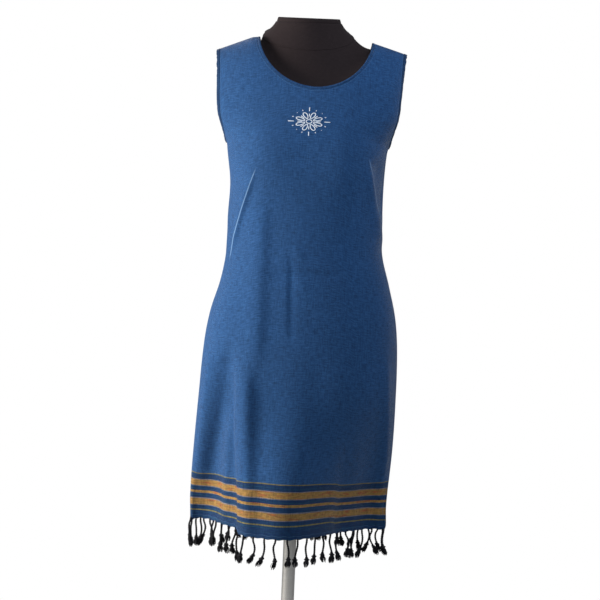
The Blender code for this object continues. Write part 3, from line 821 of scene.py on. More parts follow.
# %% Cotton materials
LIGHT_THREAD_TINT = (1.90, 1.66, 1.48, 1.0)
CLOUD_SCALES = (16.0, 12.0, 1.0)
CLOUD_DEPTH = 0.22
# painted highlight along each dart's ridge: its colour, the line's half width, its strength, its bump
# height and its fade
DART_HIGHLIGHT_BLUE = (0.210, 0.370, 0.620, 1.0)
DART_LINE_HALF_WIDTH = 0.0018
DART_HIGHLIGHT_STRENGTH = 0.80
DART_LINE_HEIGHT = 2.5
DART_LINE_FADE = 8.0
CLOTH_MAP = "cloth"
# output of the weave, gain, offset, strength, what covers the cloth there
WEAVE_SHADES = (
    ("Slub", 4.5, -2.1, 0.70, "light"),
    ("Streak", 4.5, -2.1, 0.45, "light"),
    ("Slub", -4.0, 1.75, 0.50, "dark"),
    ("Warp", 1.0, 0.0, 0.36, "dark"),
    ("Streak", -4.0, 1.80, 0.38, "dark"),
)


def dart_line(tree, place, start, end):
    """A mask of the thin sewn line between two places of the map, faded at its ends."""
    run = Vector(end) - Vector(start)
    frame_place = add_node(tree, "Mapping", vector_type="TEXTURE")
    frame_place.inputs["Location"].default_value = (*(Vector(start) + run / 2), 0.0)
    frame_place.inputs["Rotation"].default_value = (0.0, 0.0, math.atan2(run.y, run.x))
    frame_place.inputs["Scale"].default_value = (run.length / 2, DART_LINE_HALF_WIDTH, 1.0)
    tree.links.new(place, frame_place.inputs["Vector"])
    split = add_node(tree, "SeparateXYZ")
    tree.links.new(frame_place.outputs["Vector"], split.inputs[0])
    along = calculate(tree, "ABSOLUTE", split.outputs["X"])
    across = calculate(tree, "ABSOLUTE", split.outputs["Y"])
    inside = contrast(tree, along, -DART_LINE_FADE, DART_LINE_FADE)
    return calculate(tree, "MULTIPLY", inside, calculate(tree, "SUBTRACT", 1.0, across, clamp=True))


def make_cotton(name, depth, striped=False, darts=()):
    """Plain-woven cotton of a depth of colour, with or without the border stripes, and sewn darts with
    a painted highlight.
    """
    material, tree, shader = start_material(name, roughness=0.88, specular=0.15)
    place = add_node(tree, "UVMap", uv_map=CLOTH_MAP).outputs[0]
    weave = place_group(tree, WEAVE, place, Thread=THREAD_SPACING).outputs
    colour = mix_colours(tree, 1.0, WEFT_BLUE, (depth, depth, depth, 1.0), "MULTIPLY")
    if striped:
        colour = striped_colour(tree, place, colour)
    covers = {"light": mix_colours(tree, 1.0, colour, LIGHT_THREAD_TINT, "MULTIPLY"),
              "dark": WARP_BLACK}
    for label, gain, offset, strength, over in WEAVE_SHADES:
        mask = contrast(tree, weave[label], gain, offset)
        colour = cover(tree, colour, covers[over], mask, strength)
    clouds = stretched_noise(tree, place, CLOUD_SCALES)
    colour = cover(tree, colour, WARP_BLACK, clouds, CLOUD_DEPTH)
    height = weave["Height"]
    for start, end in darts:
        line = dart_line(tree, place, start, end)
        # painted highlight where the key light catches each dart's ridge, and the ridge itself in the
        # bump
        colour = cover(tree, colour, DART_HIGHLIGHT_BLUE, line, DART_HIGHLIGHT_STRENGTH)
        height = calculate(tree, "MULTIPLY_ADD", line, DART_LINE_HEIGHT, height)
    tree.links.new(colour, shader.inputs["Base Color"])
    add_bump(tree, shader, height, strength=0.45, distance=0.0004)
    add_sheen(shader, weight=0.25, roughness=0.32, tint=(1.0, 0.98, 0.97, 1.0))
    return material


BINDING_COTTON = make_cotton("binding cotton", 0.50)
NECK_COTTON = make_cotton("neck cotton", 0.78)
print("materials:", BINDING_COTTON.name, "and", NECK_COTTON.name)

# %% [markdown]
# ## Creases
#
# The largest folds are in the surface function. Finer creases come from wear and pressing: the
# edges of the darts, the pressed line across the hips, the crisp fold at the left of the skirt.
# Each is a soft ridge or trough along a short line, drawn as it looks from the front. Its two sides
# have their own widths, so an edge can be crisp on one side and run out softly on the other.

# %% Creases
# side, rise, width on the left, width on the right, share faded at each end, points (x, height)
CREASES = (
    (-1, 0.0042, 0.012, 0.0035, 0.25, ((-0.096, 1.190), (-0.119, 1.100), (-0.141, 1.010))),
    (-1, 0.0042, 0.012, 0.0035, 0.25, ((0.121, 1.215), (0.139, 1.126), (0.156, 1.035))),
    (-1, -0.0060, 0.011, 0.012, 0.30, ((0.138, 1.225), (0.148, 1.160), (0.154, 1.095))),
    (-1, -0.0026, 0.012, 0.014, 0.30, ((-0.128, 1.205), (-0.142, 1.150), (-0.150, 1.090))),
    (-1, -0.0024, 0.004, 0.014, 0.25,
     ((0.095, 0.985), (0.030, 0.988), (-0.050, 0.987), (-0.088, 0.984))),
    (-1, -0.0020, 0.004, 0.009, 0.30,
     ((-0.0285, 1.040), (-0.0215, 0.992), (-0.019, 0.915), (-0.015, 0.837))),
    (-1, 0.0016, 0.005, 0.008, 0.30, ((-0.0195, 1.037), (-0.008, 1.022), (0.007, 1.009))),
    (-1, 0.0014, 0.006, 0.009, 0.30, ((-0.012, 0.978), (0.004, 0.962), (0.010, 0.946))),
    (-1, 0.0056, 0.030, 0.015, 0.25,
     ((-0.080, 1.160), (-0.080, 1.030), (-0.080, 0.900), (-0.084, 0.760))),
    (-1, 0.0040, 0.009, 0.012, 0.20,
     ((-0.170, 0.840), (-0.174, 0.760), (-0.181, 0.640), (-0.183, 0.560))),
    (-1, -0.0065, 0.014, 0.018, 0.15,
     ((-0.132, 0.860), (-0.140, 0.760), (-0.150, 0.640), (-0.150, 0.480))),
    (-1, 0.0030, 0.010, 0.008, 0.20,
     ((-0.124, 0.740), (-0.129, 0.640), (-0.130, 0.540), (-0.127, 0.470))),
    (-1, -0.0062, 0.014, 0.004, 0.22,
     ((-0.125, 0.810), (-0.121, 0.677), (-0.109, 0.542), (-0.105, 0.420))),
    (-1, 0.0100, 0.022, 0.014, 0.22,
     ((-0.098, 0.830), (-0.091, 0.677), (-0.082, 0.542), (-0.078, 0.420))),
    (-1, 0.0026, 0.030, 0.014, 0.25,
     ((0.084, 0.700), (0.078, 0.620), (0.073, 0.540), (0.069, 0.440))),
    (-1, 0.0030, 0.012, 0.006, 0.25,
     ((0.172, 0.850), (0.176, 0.780), (0.179, 0.690), (0.178, 0.580))),
    (-1, -0.0022, 0.030, 0.026, 0.30, ((0.040, 0.860), (0.046, 0.720), (0.050, 0.560))),
    (-1, 0.0012, 0.020, 0.014, 0.30, ((0.020, 0.700), (0.014, 0.600), (0.016, 0.500))),
    (-1, 0.0012, 0.006, 0.010, 0.35, ((-0.166, 1.345), (-0.145, 1.338), (-0.118, 1.340))),
    (-1, -0.0012, 0.006, 0.010, 0.35, ((-0.164, 1.318), (-0.142, 1.310), (-0.115, 1.316))),
    (-1, -0.0020, 0.010, 0.016, 0.35, ((0.100, 1.275), (0.128, 1.255), (0.152, 1.235))),
    (-1, -0.0016, 0.010, 0.014, 0.35, ((-0.092, 1.262), (-0.120, 1.246), (-0.148, 1.232))),
    (1, 0.0034, 0.030, 0.012, 0.25, ((-0.070, 1.200), (-0.060, 1.090), (-0.056, 0.980))),
    (1, 0.0034, 0.012, 0.030, 0.25, ((0.070, 1.200), (0.062, 1.090), (0.058, 0.980))),
    (1, -0.0014, 0.007, 0.015, 0.25, ((0.090, 0.986), (0.010, 0.989), (-0.092, 0.984))),
    (1, 0.0050, 0.005, 0.034, 0.22, ((0.118, 0.800), (0.112, 0.690), (0.110, 0.440))),
    (1, -0.0050, 0.016, 0.018, 0.20, ((0.142, 0.860), (0.146, 0.700), (0.148, 0.460))),
    (1, 0.0036, 0.030, 0.009, 0.25, ((-0.086, 0.760), (-0.092, 0.620), (-0.090, 0.450))),
    (1, -0.0024, 0.022, 0.028, 0.25, ((-0.030, 0.840), (-0.024, 0.660), (-0.026, 0.480))),
    (1, 0.0026, 0.010, 0.012, 0.25, ((-0.168, 0.850), (-0.176, 0.720), (-0.178, 0.570))),
    (1, -0.0016, 0.009, 0.013, 0.35, ((-0.150, 1.240), (-0.110, 1.262), (-0.060, 1.266))),
    (1, -0.0014, 0.009, 0.013, 0.35, ((0.152, 1.238), (0.112, 1.258), (0.066, 1.270))),
)
print("creases:", len(CREASES))

# %% How the creases lift the cloth


def crease_rises(side, seen):
    """How far the creases of a side lift each of some points, given as seen from the front."""
    total = np.zeros(len(seen))
    for crease_side, rise, left_width, right_width, fade, points in CREASES:
        if crease_side != side:
            continue
        line = np.array(points)
        lengths = np.linalg.norm(np.diff(line, axis=0), axis=1)
        before = np.concatenate(([0.0], np.cumsum(lengths)))
        nearest = np.full(len(seen), np.inf)
        offset, along = np.zeros(len(seen)), np.zeros(len(seen))
        for start, end, length, run in zip(line, line[1:], lengths, before):
            direction = (end - start) / length
            share = np.clip((seen - start) @ direction / length, 0.0, 1.0)
            gap = seen - start - np.outer(share * length, direction)
            distance = np.linalg.norm(gap, axis=1)
            closer = distance < nearest
            hand = np.sign(gap @ np.array((-direction[1], direction[0])))
            nearest = np.where(closer, distance, nearest)
            offset = np.where(closer, hand * distance, offset)
            along = np.where(closer, (run + share * length) / before[-1], along)
        width = np.where(offset > 0, right_width, left_width)
        ends = np.clip(np.minimum(along, 1.0 - along) / fade, 0.0, 1.0)
        total += rise * np.exp(-(offset / width) ** 2) * ends * ends * (3.0 - 2.0 * ends)
    return total


def as_seen(point):
    """Where a point looks to be, from the camera's distance, on the plane of the side seams."""
    nearer = CAMERA_DISTANCE / (CAMERA_DISTANCE - abs(point.y))
    return point.x * nearer, CAMERA_HEIGHT + (point.z - CAMERA_HEIGHT) * nearer


tallest = max(CREASES, key=lambda crease: crease[1])
lift = crease_rises(tallest[0], np.array([tallest[-1][1]]))[0]
print("lift on the crisp fold:", round(float(lift) * 1000, 1), "mm")

# %% [markdown]
# ## The two panels
#
# Each panel is cut in one, a fine grid laid on the surface and then lifted or sunk by the creases
# along its own normals. The warp ends pull the hem into tiny scallops between the knots, and the
# corners at the slits are rounded. The map of the cloth holds metres measured along the cloth, so the
# weave and stripes are to scale. The wall comes later, once the places of the darts are known.

# %% The hem and the map of the cloth
TASSELS_PER_PANEL = 24
HEM_DROP = 0.0033
SCALLOP = 0.0016
CORNER_RISE = 0.007
CORNER_SHARE = 0.035
HEM_REACH = 0.05
# share, how far the front's hem is drawn up there
FRONT_HEM_LIFTS = ((-1.0, 0.0120), (-0.93, 0.0085), (-0.40, 0.0075), (-0.30, 0.0065),
                   (-0.25, 0.0005), (-0.15, 0.0), (1.0, 0.0))
# share, how far the front's stripes run lower there
FRONT_STRIPE_SHIFTS = ((-1.0, 0.0), (0.28, 0.0), (0.33, 0.0010), (0.37, 0.0045),
                       (0.60, 0.0060), (1.0, 0.0065))
MAP_SHARES = np.linspace(-1.0, 1.0, 41)
MAP_LEVELS = np.linspace(-1.0, 2.0, 61)
BACK_MAP_SHIFT = 2.0


def cloth_lengths(side):
    """Lengths along the cloth on a lattice: across from the middle, and up from the hem."""
    lattice = np.array([[dress_point(side, share, level) for share in MAP_SHARES]
                        for level in MAP_LEVELS])
    across = np.linalg.norm(np.diff(lattice, axis=1), axis=2)
    across = np.concatenate((np.zeros((len(MAP_LEVELS), 1)), np.cumsum(across, axis=1)), axis=1)
    across -= across[:, len(MAP_SHARES) // 2:len(MAP_SHARES) // 2 + 1]
    up = np.linalg.norm(np.diff(lattice, axis=0), axis=2)
    up = np.concatenate((np.zeros((1, len(MAP_SHARES))), np.cumsum(up, axis=0)), axis=0)
    return across, up


def read_lattice(values, share, level):
    """Reads a lattice of lengths between its points."""
    column = (share + 1.0) / 2.0 * (len(MAP_SHARES) - 1)
    row = (level + 1.0) / 3.0 * (len(MAP_LEVELS) - 1)
    i, j = min(int(row), len(MAP_LEVELS) - 2), min(int(column), len(MAP_SHARES) - 2)
    low = blend(values[i, j], values[i, j + 1], column - j)
    high = blend(values[i + 1, j], values[i + 1, j + 1], column - j)
    return blend(low, high, row - i)


def read_pairs(pairs, share):
    """Reads a value between the pairs of a short table."""
    return float(np.interp(share, [row[0] for row in pairs], [row[1] for row in pairs]))


def hem_offset(side, hem_lengths, share, level):
    """How far the hem's lowest stretch reaches below its line: a drop, less scallops and lifts."""
    near_hem = smooth_step(1.0 + (-1.0 - level) / HEM_REACH)
    if near_hem == 0.0:
        return 0.0
    lift = read_pairs(FRONT_HEM_LIFTS, share) if side < 0 else 0.0
    along = np.interp(share, MAP_SHARES, hem_lengths)
    turns = (along - hem_lengths[0]) / (hem_lengths[-1] - hem_lengths[0]) * TASSELS_PER_PANEL
    scallop = SCALLOP * math.cos(math.pi * turns) ** 2
    corner = CORNER_RISE * smooth_step((abs(share) - 1.0 + CORNER_SHARE) / CORNER_SHARE) ** 2
    return (HEM_DROP - scallop - corner - lift) * near_hem


def add_cloth_map(mesh, side, lengths, places):
    """The panel's map in metres along the cloth, across from the middle and up from the hem."""
    across, up = lengths
    apart = 0.0 if side < 0 else BACK_MAP_SHIFT
    flat = []
    for place in places:
        height = read_lattice(up, *place) - hem_offset(side, across[0], *place)
        if side < 0:
            height += read_pairs(FRONT_STRIPE_SHIFTS, place[0])
        flat.append((apart + read_lattice(across, *place), height))
    layer = mesh.uv_layers.new(name=CLOTH_MAP)
    for loop in mesh.loops:
        layer.data[loop.index].uv = flat[loop.vertex_index]


print("a tassel every", round(2 * SECTIONS[0][1] / TASSELS_PER_PANEL * 1000), "mm or so along the hem")

# %% Panels
SEAM_FADE = 0.06


def make_panel(name, side):
    """A cloth panel; gives it with its skin, the point and normal at each spot of the grid."""
    places = {}
    lengths = cloth_lengths(side)
    hem_lengths = lengths[0][0]

    def laid(column, row):
        share, level = grid_place(side, row / CELLS_UP, column / CELLS_ACROSS - HALF_COLUMNS)
        places[column, row] = (share, level)
        point = dress_point(side, share, level)
        point.z -= hem_offset(side, hem_lengths, share, level)
        return point

    piece, spots = mapped_grid(name, COLUMNS, ROWS, laid, drop=in_notch)
    if side > 0:
        edit_all(piece)
        bpy.ops.mesh.flip_normals()
        bpy.ops.object.mode_set(mode="OBJECT")
    mesh = piece.data
    mesh.update()
    seen_spots = np.array([as_seen(vert.co) for vert in mesh.vertices])
    rises = crease_rises(side, seen_spots)
    normals = [vert.normal.copy() for vert in mesh.vertices]
    for vert, normal, rise, spot in zip(mesh.vertices, normals, rises, spots):
        share, level = places[spot]
        sewn = smooth_step((1.0 - abs(share)) / SEAM_FADE) if vert.co.z > SLIT_TOP else 1.0
        vert.co += normal * float(rise) * sewn
    mesh.update()
    skin = {spot: (vert.co.copy(), vert.normal.copy()) for spot, vert in zip(spots, mesh.vertices)}
    add_cloth_map(mesh, side, lengths, [places[spot] for spot in spots])
    area = round(sum(face.area for face in mesh.polygons), 4)
    print(name, "cloth area:", area, "m2")
    return piece, skin, area


front, front_skin, front_area = make_panel("dress_front", -1)
back, back_skin, back_area = make_panel("dress_back", 1)

# %% [markdown]
# ## French darts
#
# A long dart rises from each side seam of the front and gives the waist its shape. Its fold was
# pressed flat, so from outside only the folded edge at the seam shows: a thin ridge, with a painted
# highlight along it, paler than the cloth, where the key light catches the ridge. The line is given
# as it looks from the front, and its ends are found on the panel's own map for the material. Then
# Solidify gives the cloth its wall, inward from the face that shows.

# %% Darts and the dress's material
DARTS_AS_SEEN = (((-0.096, 1.190), (-0.141, 1.010)), ((0.121, 1.215), (0.156, 1.035)))


def map_place(piece, seen):
    """The place on a panel's map that looks to be at a point."""
    gaps = [(Vector(as_seen(vert.co)) - Vector(seen)).length for vert in piece.data.vertices]
    nearest = gaps.index(min(gaps))
    layer = piece.data.uv_layers[CLOTH_MAP]
    corner = next(loop.index for loop in piece.data.loops if loop.vertex_index == nearest)
    return tuple(layer.data[corner].uv)


darts = [tuple(map_place(front, seen) for seen in line) for line in DARTS_AS_SEEN]
DRESS_COTTON = make_cotton("dress cotton", 1.0, striped=True, darts=darts)
for panel, node in ((front, "front_panel"), (back, "back_panel")):
    apply_modifier(panel, "SOLIDIFY", thickness=WALL, offset=-1.0, use_quality_normals=True)
    smooth_by_angle(panel, 50)
    dress_up(panel, DRESS_COTTON, "dress_cotton", node)
print("darts on the map:", [[round(value, 3) for value in place] for line in darts for place in line])

# %% [markdown]
# ## Tubes and turned shapes
#
# Two shapes come back all the time from here on. A tube follows a path with a section of its own at
# each place, and a turned shape is a profile that goes round the upright axis. Both are the mapped
# grid again, closed where its sides meet.

# %% Tubes and turned shapes


def tube(name, path, profile, closed=True):
    """A tube along (point, out, aside) frames, with a profile of (out, aside) offsets by position."""
    count = len(path)
    sides = len(profile(0))

    def laid(column, row):
        point, out, aside = path[row % count]
        up, sideways = profile(row % count)[column % sides]
        return point + out * up + aside * sideways

    piece, _ = mapped_grid(name, sides, count if closed else count - 1, laid)
    close_up(piece)
    return piece


def round_profile(sides, radius, squash=1.0, lift=0.0):
    """The corners of a round or flattened section, as (out, aside) offsets."""
    return [(lift + radius * squash * math.sin(turn), radius * math.cos(turn))
            for turn in even_turns(sides)]


def turned(name, profile, steps):
    """A shape turned round the vertical axis from (radius, height) points."""
    round_once = even_turns(steps)

    def laid(column, row):
        radius, height = profile[row]
        turn = round_once[column % steps]
        return Vector((radius * math.cos(turn), radius * math.sin(turn), height))

    piece, _ = mapped_grid(name, steps, len(profile) - 1, laid)
    close_up(piece)
    return piece


print("corners of a round section:", len(round_profile(8, 1.0)))

# %% [markdown]
# ## The dress form
#
# The form's solid is a coarse cage with the right shape, so its copy becomes the smooth body: the
# copy's corners are merged, its triangles joined to quads, its rims creased, and a subdivision
# surface rounds the rest. A piping covers the seam where the neck's cover is sewn to the body's.
# The cap is a thick slanted disc in the same black jersey.

# %% Jersey
JERSEY_BLACK = (0.0135, 0.0088, 0.0100, 1.0)
JERSEY_LIGHT = (0.0330, 0.0230, 0.0250, 1.0)


def make_jersey():
    """Black stretched jersey: fine knit columns, a little lint and a weak sheen."""
    material, tree, shader = start_material("black jersey", roughness=0.86, specular=0.16)
    place = own_place(tree)
    ribs = stretched_noise(tree, place, (1400.0, 1400.0, 420.0))
    lint = stretched_noise(tree, place, (160.0, 160.0, 240.0), detail=3.0)
    colour = cover(tree, JERSEY_BLACK, JERSEY_LIGHT, ribs, 0.5)
    colour = cover(tree, colour, JERSEY_LIGHT, contrast(tree, lint, gain=3.0, offset=-1.3), 0.25)
    tree.links.new(colour, shader.inputs["Base Color"])
    add_bump(tree, shader, calculate(tree, "ADD", ribs, lint), strength=0.35, distance=0.0004)
    add_sheen(shader, weight=0.05, roughness=0.4, tint=(0.85, 0.8, 0.85, 1.0))
    return material


JERSEY = make_jersey()
print("material:", JERSEY.name)

# %% Form
RIM_ANGLE = math.radians(50)
QUAD_BEND = math.radians(70)
QUAD_SKEW = math.radians(100)
NECK_MIDDLE = -0.005
NECK_SEAM_HEIGHT = 1.4475
NECK_SEAM_HALF_WIDTH = 0.0885
NECK_SEAM_HALF_DEPTH = 0.0740
NECK_SEAM_MIDDLE = 0.004
NECK_SEAM_SLANT = math.radians(29)
SEAM_TURN = 0.01
PIPING_RADIUS = 0.0009
PIPING_SIDES = 8
PIPING_STEPS = 120
CAP_HEIGHT = 1.4740
CAP_SLANT = math.radians(13.4)
CAP_THICKNESS = 0.0085
CAP_BOTTOM_RADIUS = 0.0625
CAP_TOP_RADIUS = 0.0605
CAP_STEPS = 96


def node_copy(name, node):
    """A copy of a solid, its corners merged and its triangles joined to quads."""
    piece = bpy.data.objects.new(name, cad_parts[node].data.copy())
    piece.data.name = name
    bpy.context.scene.collection.objects.link(piece)
    edit_all(piece)
    bpy.ops.mesh.remove_doubles(threshold=MERGE_DISTANCE)
    bpy.ops.mesh.tris_convert_to_quads(face_threshold=QUAD_BEND, shape_threshold=QUAD_SKEW)
    bpy.ops.mesh.select_mode(type="EDGE")
    bpy.ops.mesh.select_all(action="DESELECT")
    bpy.ops.mesh.edges_select_sharp(sharpness=RIM_ANGLE)
    bpy.ops.transform.edge_crease(value=1.0)
    bpy.ops.object.mode_set(mode="OBJECT")
    return piece


def neck_seam_point(angle):
    """A point of the slanted oval seam round the neck; the angle runs from the front's middle."""
    forward = -NECK_SEAM_HALF_DEPTH * math.cos(angle)
    return Vector((NECK_MIDDLE + NECK_SEAM_HALF_WIDTH * math.sin(angle), NECK_SEAM_MIDDLE + forward,
                   NECK_SEAM_HEIGHT + math.tan(NECK_SEAM_SLANT) * forward))


form_body = node_copy("form_body", "form_torso")
apply_modifier(form_body, "SUBSURF", levels=2, render_levels=2)
smooth_by_angle(form_body, 60)

seam_path = []
for angle in even_turns(PIPING_STEPS):
    _, point, out, _ = form_body.closest_point_on_mesh(neck_seam_point(angle))
    along = neck_seam_point(angle + SEAM_TURN) - neck_seam_point(angle - SEAM_TURN)
    seam_path.append((point, out, along.cross(out).normalized()))
neck_piping = tube("neck_piping", seam_path, lambda row: round_profile(PIPING_SIDES, PIPING_RADIUS))
smooth_by_angle(neck_piping, 60)

cap_edge = [(0.0, CAP_THICKNESS), (CAP_TOP_RADIUS - 0.0020, CAP_THICKNESS),
            (CAP_TOP_RADIUS - 0.0007, CAP_THICKNESS - 0.0003),
            (CAP_TOP_RADIUS, CAP_THICKNESS - 0.0012),
            (CAP_BOTTOM_RADIUS, 0.0008), (CAP_BOTTOM_RADIUS - 0.0002, 0.0002),
            (CAP_BOTTOM_RADIUS - 0.0008, 0.0), (0.0, 0.0)]
form_cap = turned("form_cap", cap_edge, CAP_STEPS)
slant = Matrix.Rotation(CAP_SLANT, 4, "X")
form_cap.data.transform(Matrix.Translation((NECK_MIDDLE, 0.0, CAP_HEIGHT)) @ slant)
smooth_by_angle(form_cap, 50)
dress_up(form_body, JERSEY, "form_jersey", "form_torso")
dress_up(neck_piping, JERSEY, "form_jersey")
dress_up(form_cap, JERSEY, "form_jersey", "form_neck_cap")

# %% [markdown]
# ## The stand
#
# Round parts are profiles turned round the pole's axis, with their edges rounded in the profile
# itself. The base, its socket and the plate under the form are enamelled black, and the pole is a
# brushed steel tube whose fine marks run round it.

# %% Stand
# (radius, height) points from the middle of the top, over the rim, to the middle of the underside
BASE_PROFILE = ((0.0, 0.0160), (0.0320, 0.0160), (0.0900, 0.0140), (0.1500, 0.0110),
                (0.1700, 0.0092), (0.1765, 0.0078), (0.1790, 0.0058), (0.1799, 0.0038),
                (0.1796, 0.0010), (0.1788, 0.0002), (0.1780, 0.0), (0.0, 0.0))
SOCKET_PROFILE = ((0.0, 0.0400), (0.0165, 0.0400), (0.0180, 0.0396), (0.0230, 0.0347), (0.0240, 0.0332),
                  (0.0316, 0.0172), (0.0318, 0.0165), (0.0314, 0.0163), (0.0, 0.0163))
POLE_PROFILE = ((0.0, 0.7294), (0.0117, 0.7294), (0.0123, 0.7291), (0.0125, 0.7285), (0.0125, 0.0412),
                (0.0122, 0.0406), (0.0116, 0.0403), (0.0, 0.0403))
PLATE_THICKNESS = 0.010
PLATE_RADIUS = 0.055
STAND_STEPS = 128


def make_enamel():
    """Satin black enamel with a fine orange-peel texture and a little dust."""
    material, tree, shader = start_material("black enamel", roughness=0.36, specular=0.45)
    place = own_place(tree)
    peel = stretched_noise(tree, place, (420.0, 420.0, 420.0), detail=1.0)
    dust = stretched_noise(tree, place, (22.0, 22.0, 22.0), detail=4.0)
    colour = mix_colours(tree, dust, (0.016, 0.016, 0.017, 1.0), (0.026, 0.026, 0.027, 1.0))
    tree.links.new(colour, shader.inputs["Base Color"])
    tree.links.new(calculate(tree, "MULTIPLY_ADD", dust, 0.22, 0.27), shader.inputs["Roughness"])
    add_bump(tree, shader, peel, strength=0.12, distance=0.0003)
    return material


def make_steel():
    """Brushed steel with fine marks round the tube."""
    material, tree, shader = start_material("brushed steel", roughness=0.34, metallic=1.0)
    marks = stretched_noise(tree, own_place(tree), (30.0, 30.0, 2600.0))
    colour = mix_colours(tree, marks, (0.44, 0.44, 0.43, 1.0), (0.62, 0.62, 0.61, 1.0))
    tree.links.new(colour, shader.inputs["Base Color"])
    tree.links.new(calculate(tree, "MULTIPLY_ADD", marks, 0.24, 0.24), shader.inputs["Roughness"])
    add_bump(tree, shader, marks, strength=0.10, distance=0.0002)
    return material


ENAMEL = make_enamel()
STEEL = make_steel()
plate_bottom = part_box("form_base_plate")[0][2]
plate_rim = [(0.0, PLATE_THICKNESS), (PLATE_RADIUS - 0.0012, PLATE_THICKNESS),
             (PLATE_RADIUS - 0.0003, PLATE_THICKNESS - 0.0004),
             (PLATE_RADIUS, PLATE_THICKNESS - 0.0013), (PLATE_RADIUS, 0.0013),
             (PLATE_RADIUS - 0.0003, 0.0004), (PLATE_RADIUS - 0.0012, 0.0), (0.0, 0.0)]
plate_profile = [(radius, height + plate_bottom) for radius, height in plate_rim]
for name, profile, material, finish, node in (
        ("round_base", BASE_PROFILE, ENAMEL, "stand_enamel", "stand_base"),
        ("base_socket", SOCKET_PROFILE, ENAMEL, "stand_enamel", "pole_socket"),
        ("steel_pole", POLE_PROFILE, STEEL, "pole_steel", "stand_pole"),
        ("form_plate", plate_profile, ENAMEL, "stand_enamel", "form_base_plate")):
    piece = turned(name, profile, STAND_STEPS)
    smooth_by_angle(piece, 35)
    dress_up(piece, material, finish, node)

# %% [markdown]
# ## Bindings
#
# The armholes are bound with bias strips, which pull in a little and pucker between the stitches.
# The neck has a narrow turned edge. Each is a tube laid along the panels' own edge points, up the
# front and down the back, so it meets the cloth all the way round. Its section is a flat rounded
# strip, a little thicker than the cloth.

# %% Edges of the openings
MIDDLE_COLUMN = COLUMNS // 2
UNDERARM_ROW = BODY_ROWS * CELLS_UP


def side_edge(column, rows):
    """The spots along a panel's side, each with its neighbour inside the cloth."""
    step = 1 if column == 0 else -1
    return [((column, row), (column + step, row)) for row in rows]


def neck_edge(top_row):
    """The spots round the neck, from a row on the left to it on the right, with their neighbours."""
    left, right = (MIDDLE_COLUMN + hand * NECK_COLUMNS * CELLS_ACROSS for hand in (-1, 1))
    bowl = BOWL_ROW * CELLS_UP
    pairs = [((left, row), (left - 1, row)) for row in range(top_row, bowl, -1)]
    pairs += [((column, bowl), (column, bowl - 1)) for column in range(left, right + 1)]
    pairs += [((right, row), (right + 1, row)) for row in range(bowl + 1, top_row + 1)]
    return pairs


def edge_frames(pairs):
    """Frames (point, out, away from the cloth) round an opening: along the front, then the back."""
    rows = []
    for skin, order in ((front_skin, 1), (back_skin, -1)):
        for spot, neighbour in pairs[::order]:
            point, normal = skin[spot]
            sewn = spot in (pairs[0][0], pairs[-1][0])
            if sewn and skin is back_skin:
                continue
            inward = skin[neighbour][0] - point
            if sewn:
                point = Vector((point.x, 0.0, point.z))
            rows.append((point, normal, inward))
    frames = []
    for i, (point, normal, inward) in enumerate(rows):
        along = (rows[(i + 1) % len(rows)][0] - rows[i - 1][0]).normalized()
        normal = rows[i - 1][1] + 2 * normal + rows[(i + 1) % len(rows)][1]
        normal = (normal - along * normal.dot(along)).normalized()
        away = along.cross(normal)
        frames.append((point, normal, away if away.dot(inward) < 0 else -away))
    return frames


def armhole_frames(column):
    """The frames round the armhole at one of the grid's sides."""
    pairs = side_edge(column, range(UNDERARM_ROW, ROWS + 1))
    pairs[0] = ((column, UNDERARM_ROW), (column, UNDERARM_ROW - 1))
    return edge_frames(pairs)


print("places along an armhole's edge:", len(side_edge(0, range(UNDERARM_ROW, ROWS + 1))))

# %% Bindings
GAP = 0.0003
BINDING_RISE = 0.0005
BINDING_HALF_THICKNESS = 0.0012
ARMHOLE_BINDING_WIDTH = 0.0080
NECK_BINDING_WIDTH = 0.0050
BINDING_SIDES = 14
OUT_BLUNTNESS = 0.7
AWAY_BLUNTNESS = 0.6
BINDING_MAP_STRETCH = 2.5
PUCKER_SCALE = 130.0
PUCKER_DEPTH = 0.0018
NECK_PUCKER_DEPTH = 0.0003
PUCKER_BIAS = 0.15
PUFF_SHARE = 0.35
PUFF_SCALE = 1.7
PUFF_SHIFT = Vector((5.0, 0.0, 0.0))
UNDERARM_BUNCH = 0.0018
BUNCH_REACH = 0.006


def blunted(value, power):
    """A sine or cosine raised to a power, with its sign kept."""
    return math.copysign(abs(value) ** power, value)


def flat_section(width, puff):
    """The section of a turned strip just outside an edge, as (out, away) offsets."""
    corners = []
    for turn in even_turns(BINDING_SIDES):
        out = blunted(math.sin(turn), OUT_BLUNTNESS) * (BINDING_HALF_THICKNESS + puff)
        away = blunted(math.cos(turn), AWAY_BLUNTNESS) * width / 2
        corners.append((BINDING_RISE - BINDING_HALF_THICKNESS + out, GAP + width / 2 + away))
    return corners


def make_binding(name, frames, width, pucker_depth):
    """A puckered strip along an edge, with a map along it in metres."""
    def section(row):
        place = frames[row][0] * PUCKER_SCALE
        pucker = pucker_depth * max(0.0, noise.noise(place) + PUCKER_BIAS)
        puff = PUFF_SHARE * pucker_depth * noise.noise(place * PUFF_SCALE + PUFF_SHIFT)
        puff += UNDERARM_BUNCH * math.exp(-((frames[row][0].z - UNDERARM_HEIGHT) / BUNCH_REACH) ** 2)
        return flat_section(width - pucker, puff)

    piece = tube(name, frames, section)
    layer = piece.data.uv_layers[0]
    layer.name = CLOTH_MAP
    length = sum((a[0] - b[0]).length for a, b in zip(frames, frames[1:]))
    for corner in layer.data:
        corner.uv = (corner.uv[0] * width * BINDING_MAP_STRETCH, corner.uv[1] * length)
    smooth_by_angle(piece, 70)
    return piece


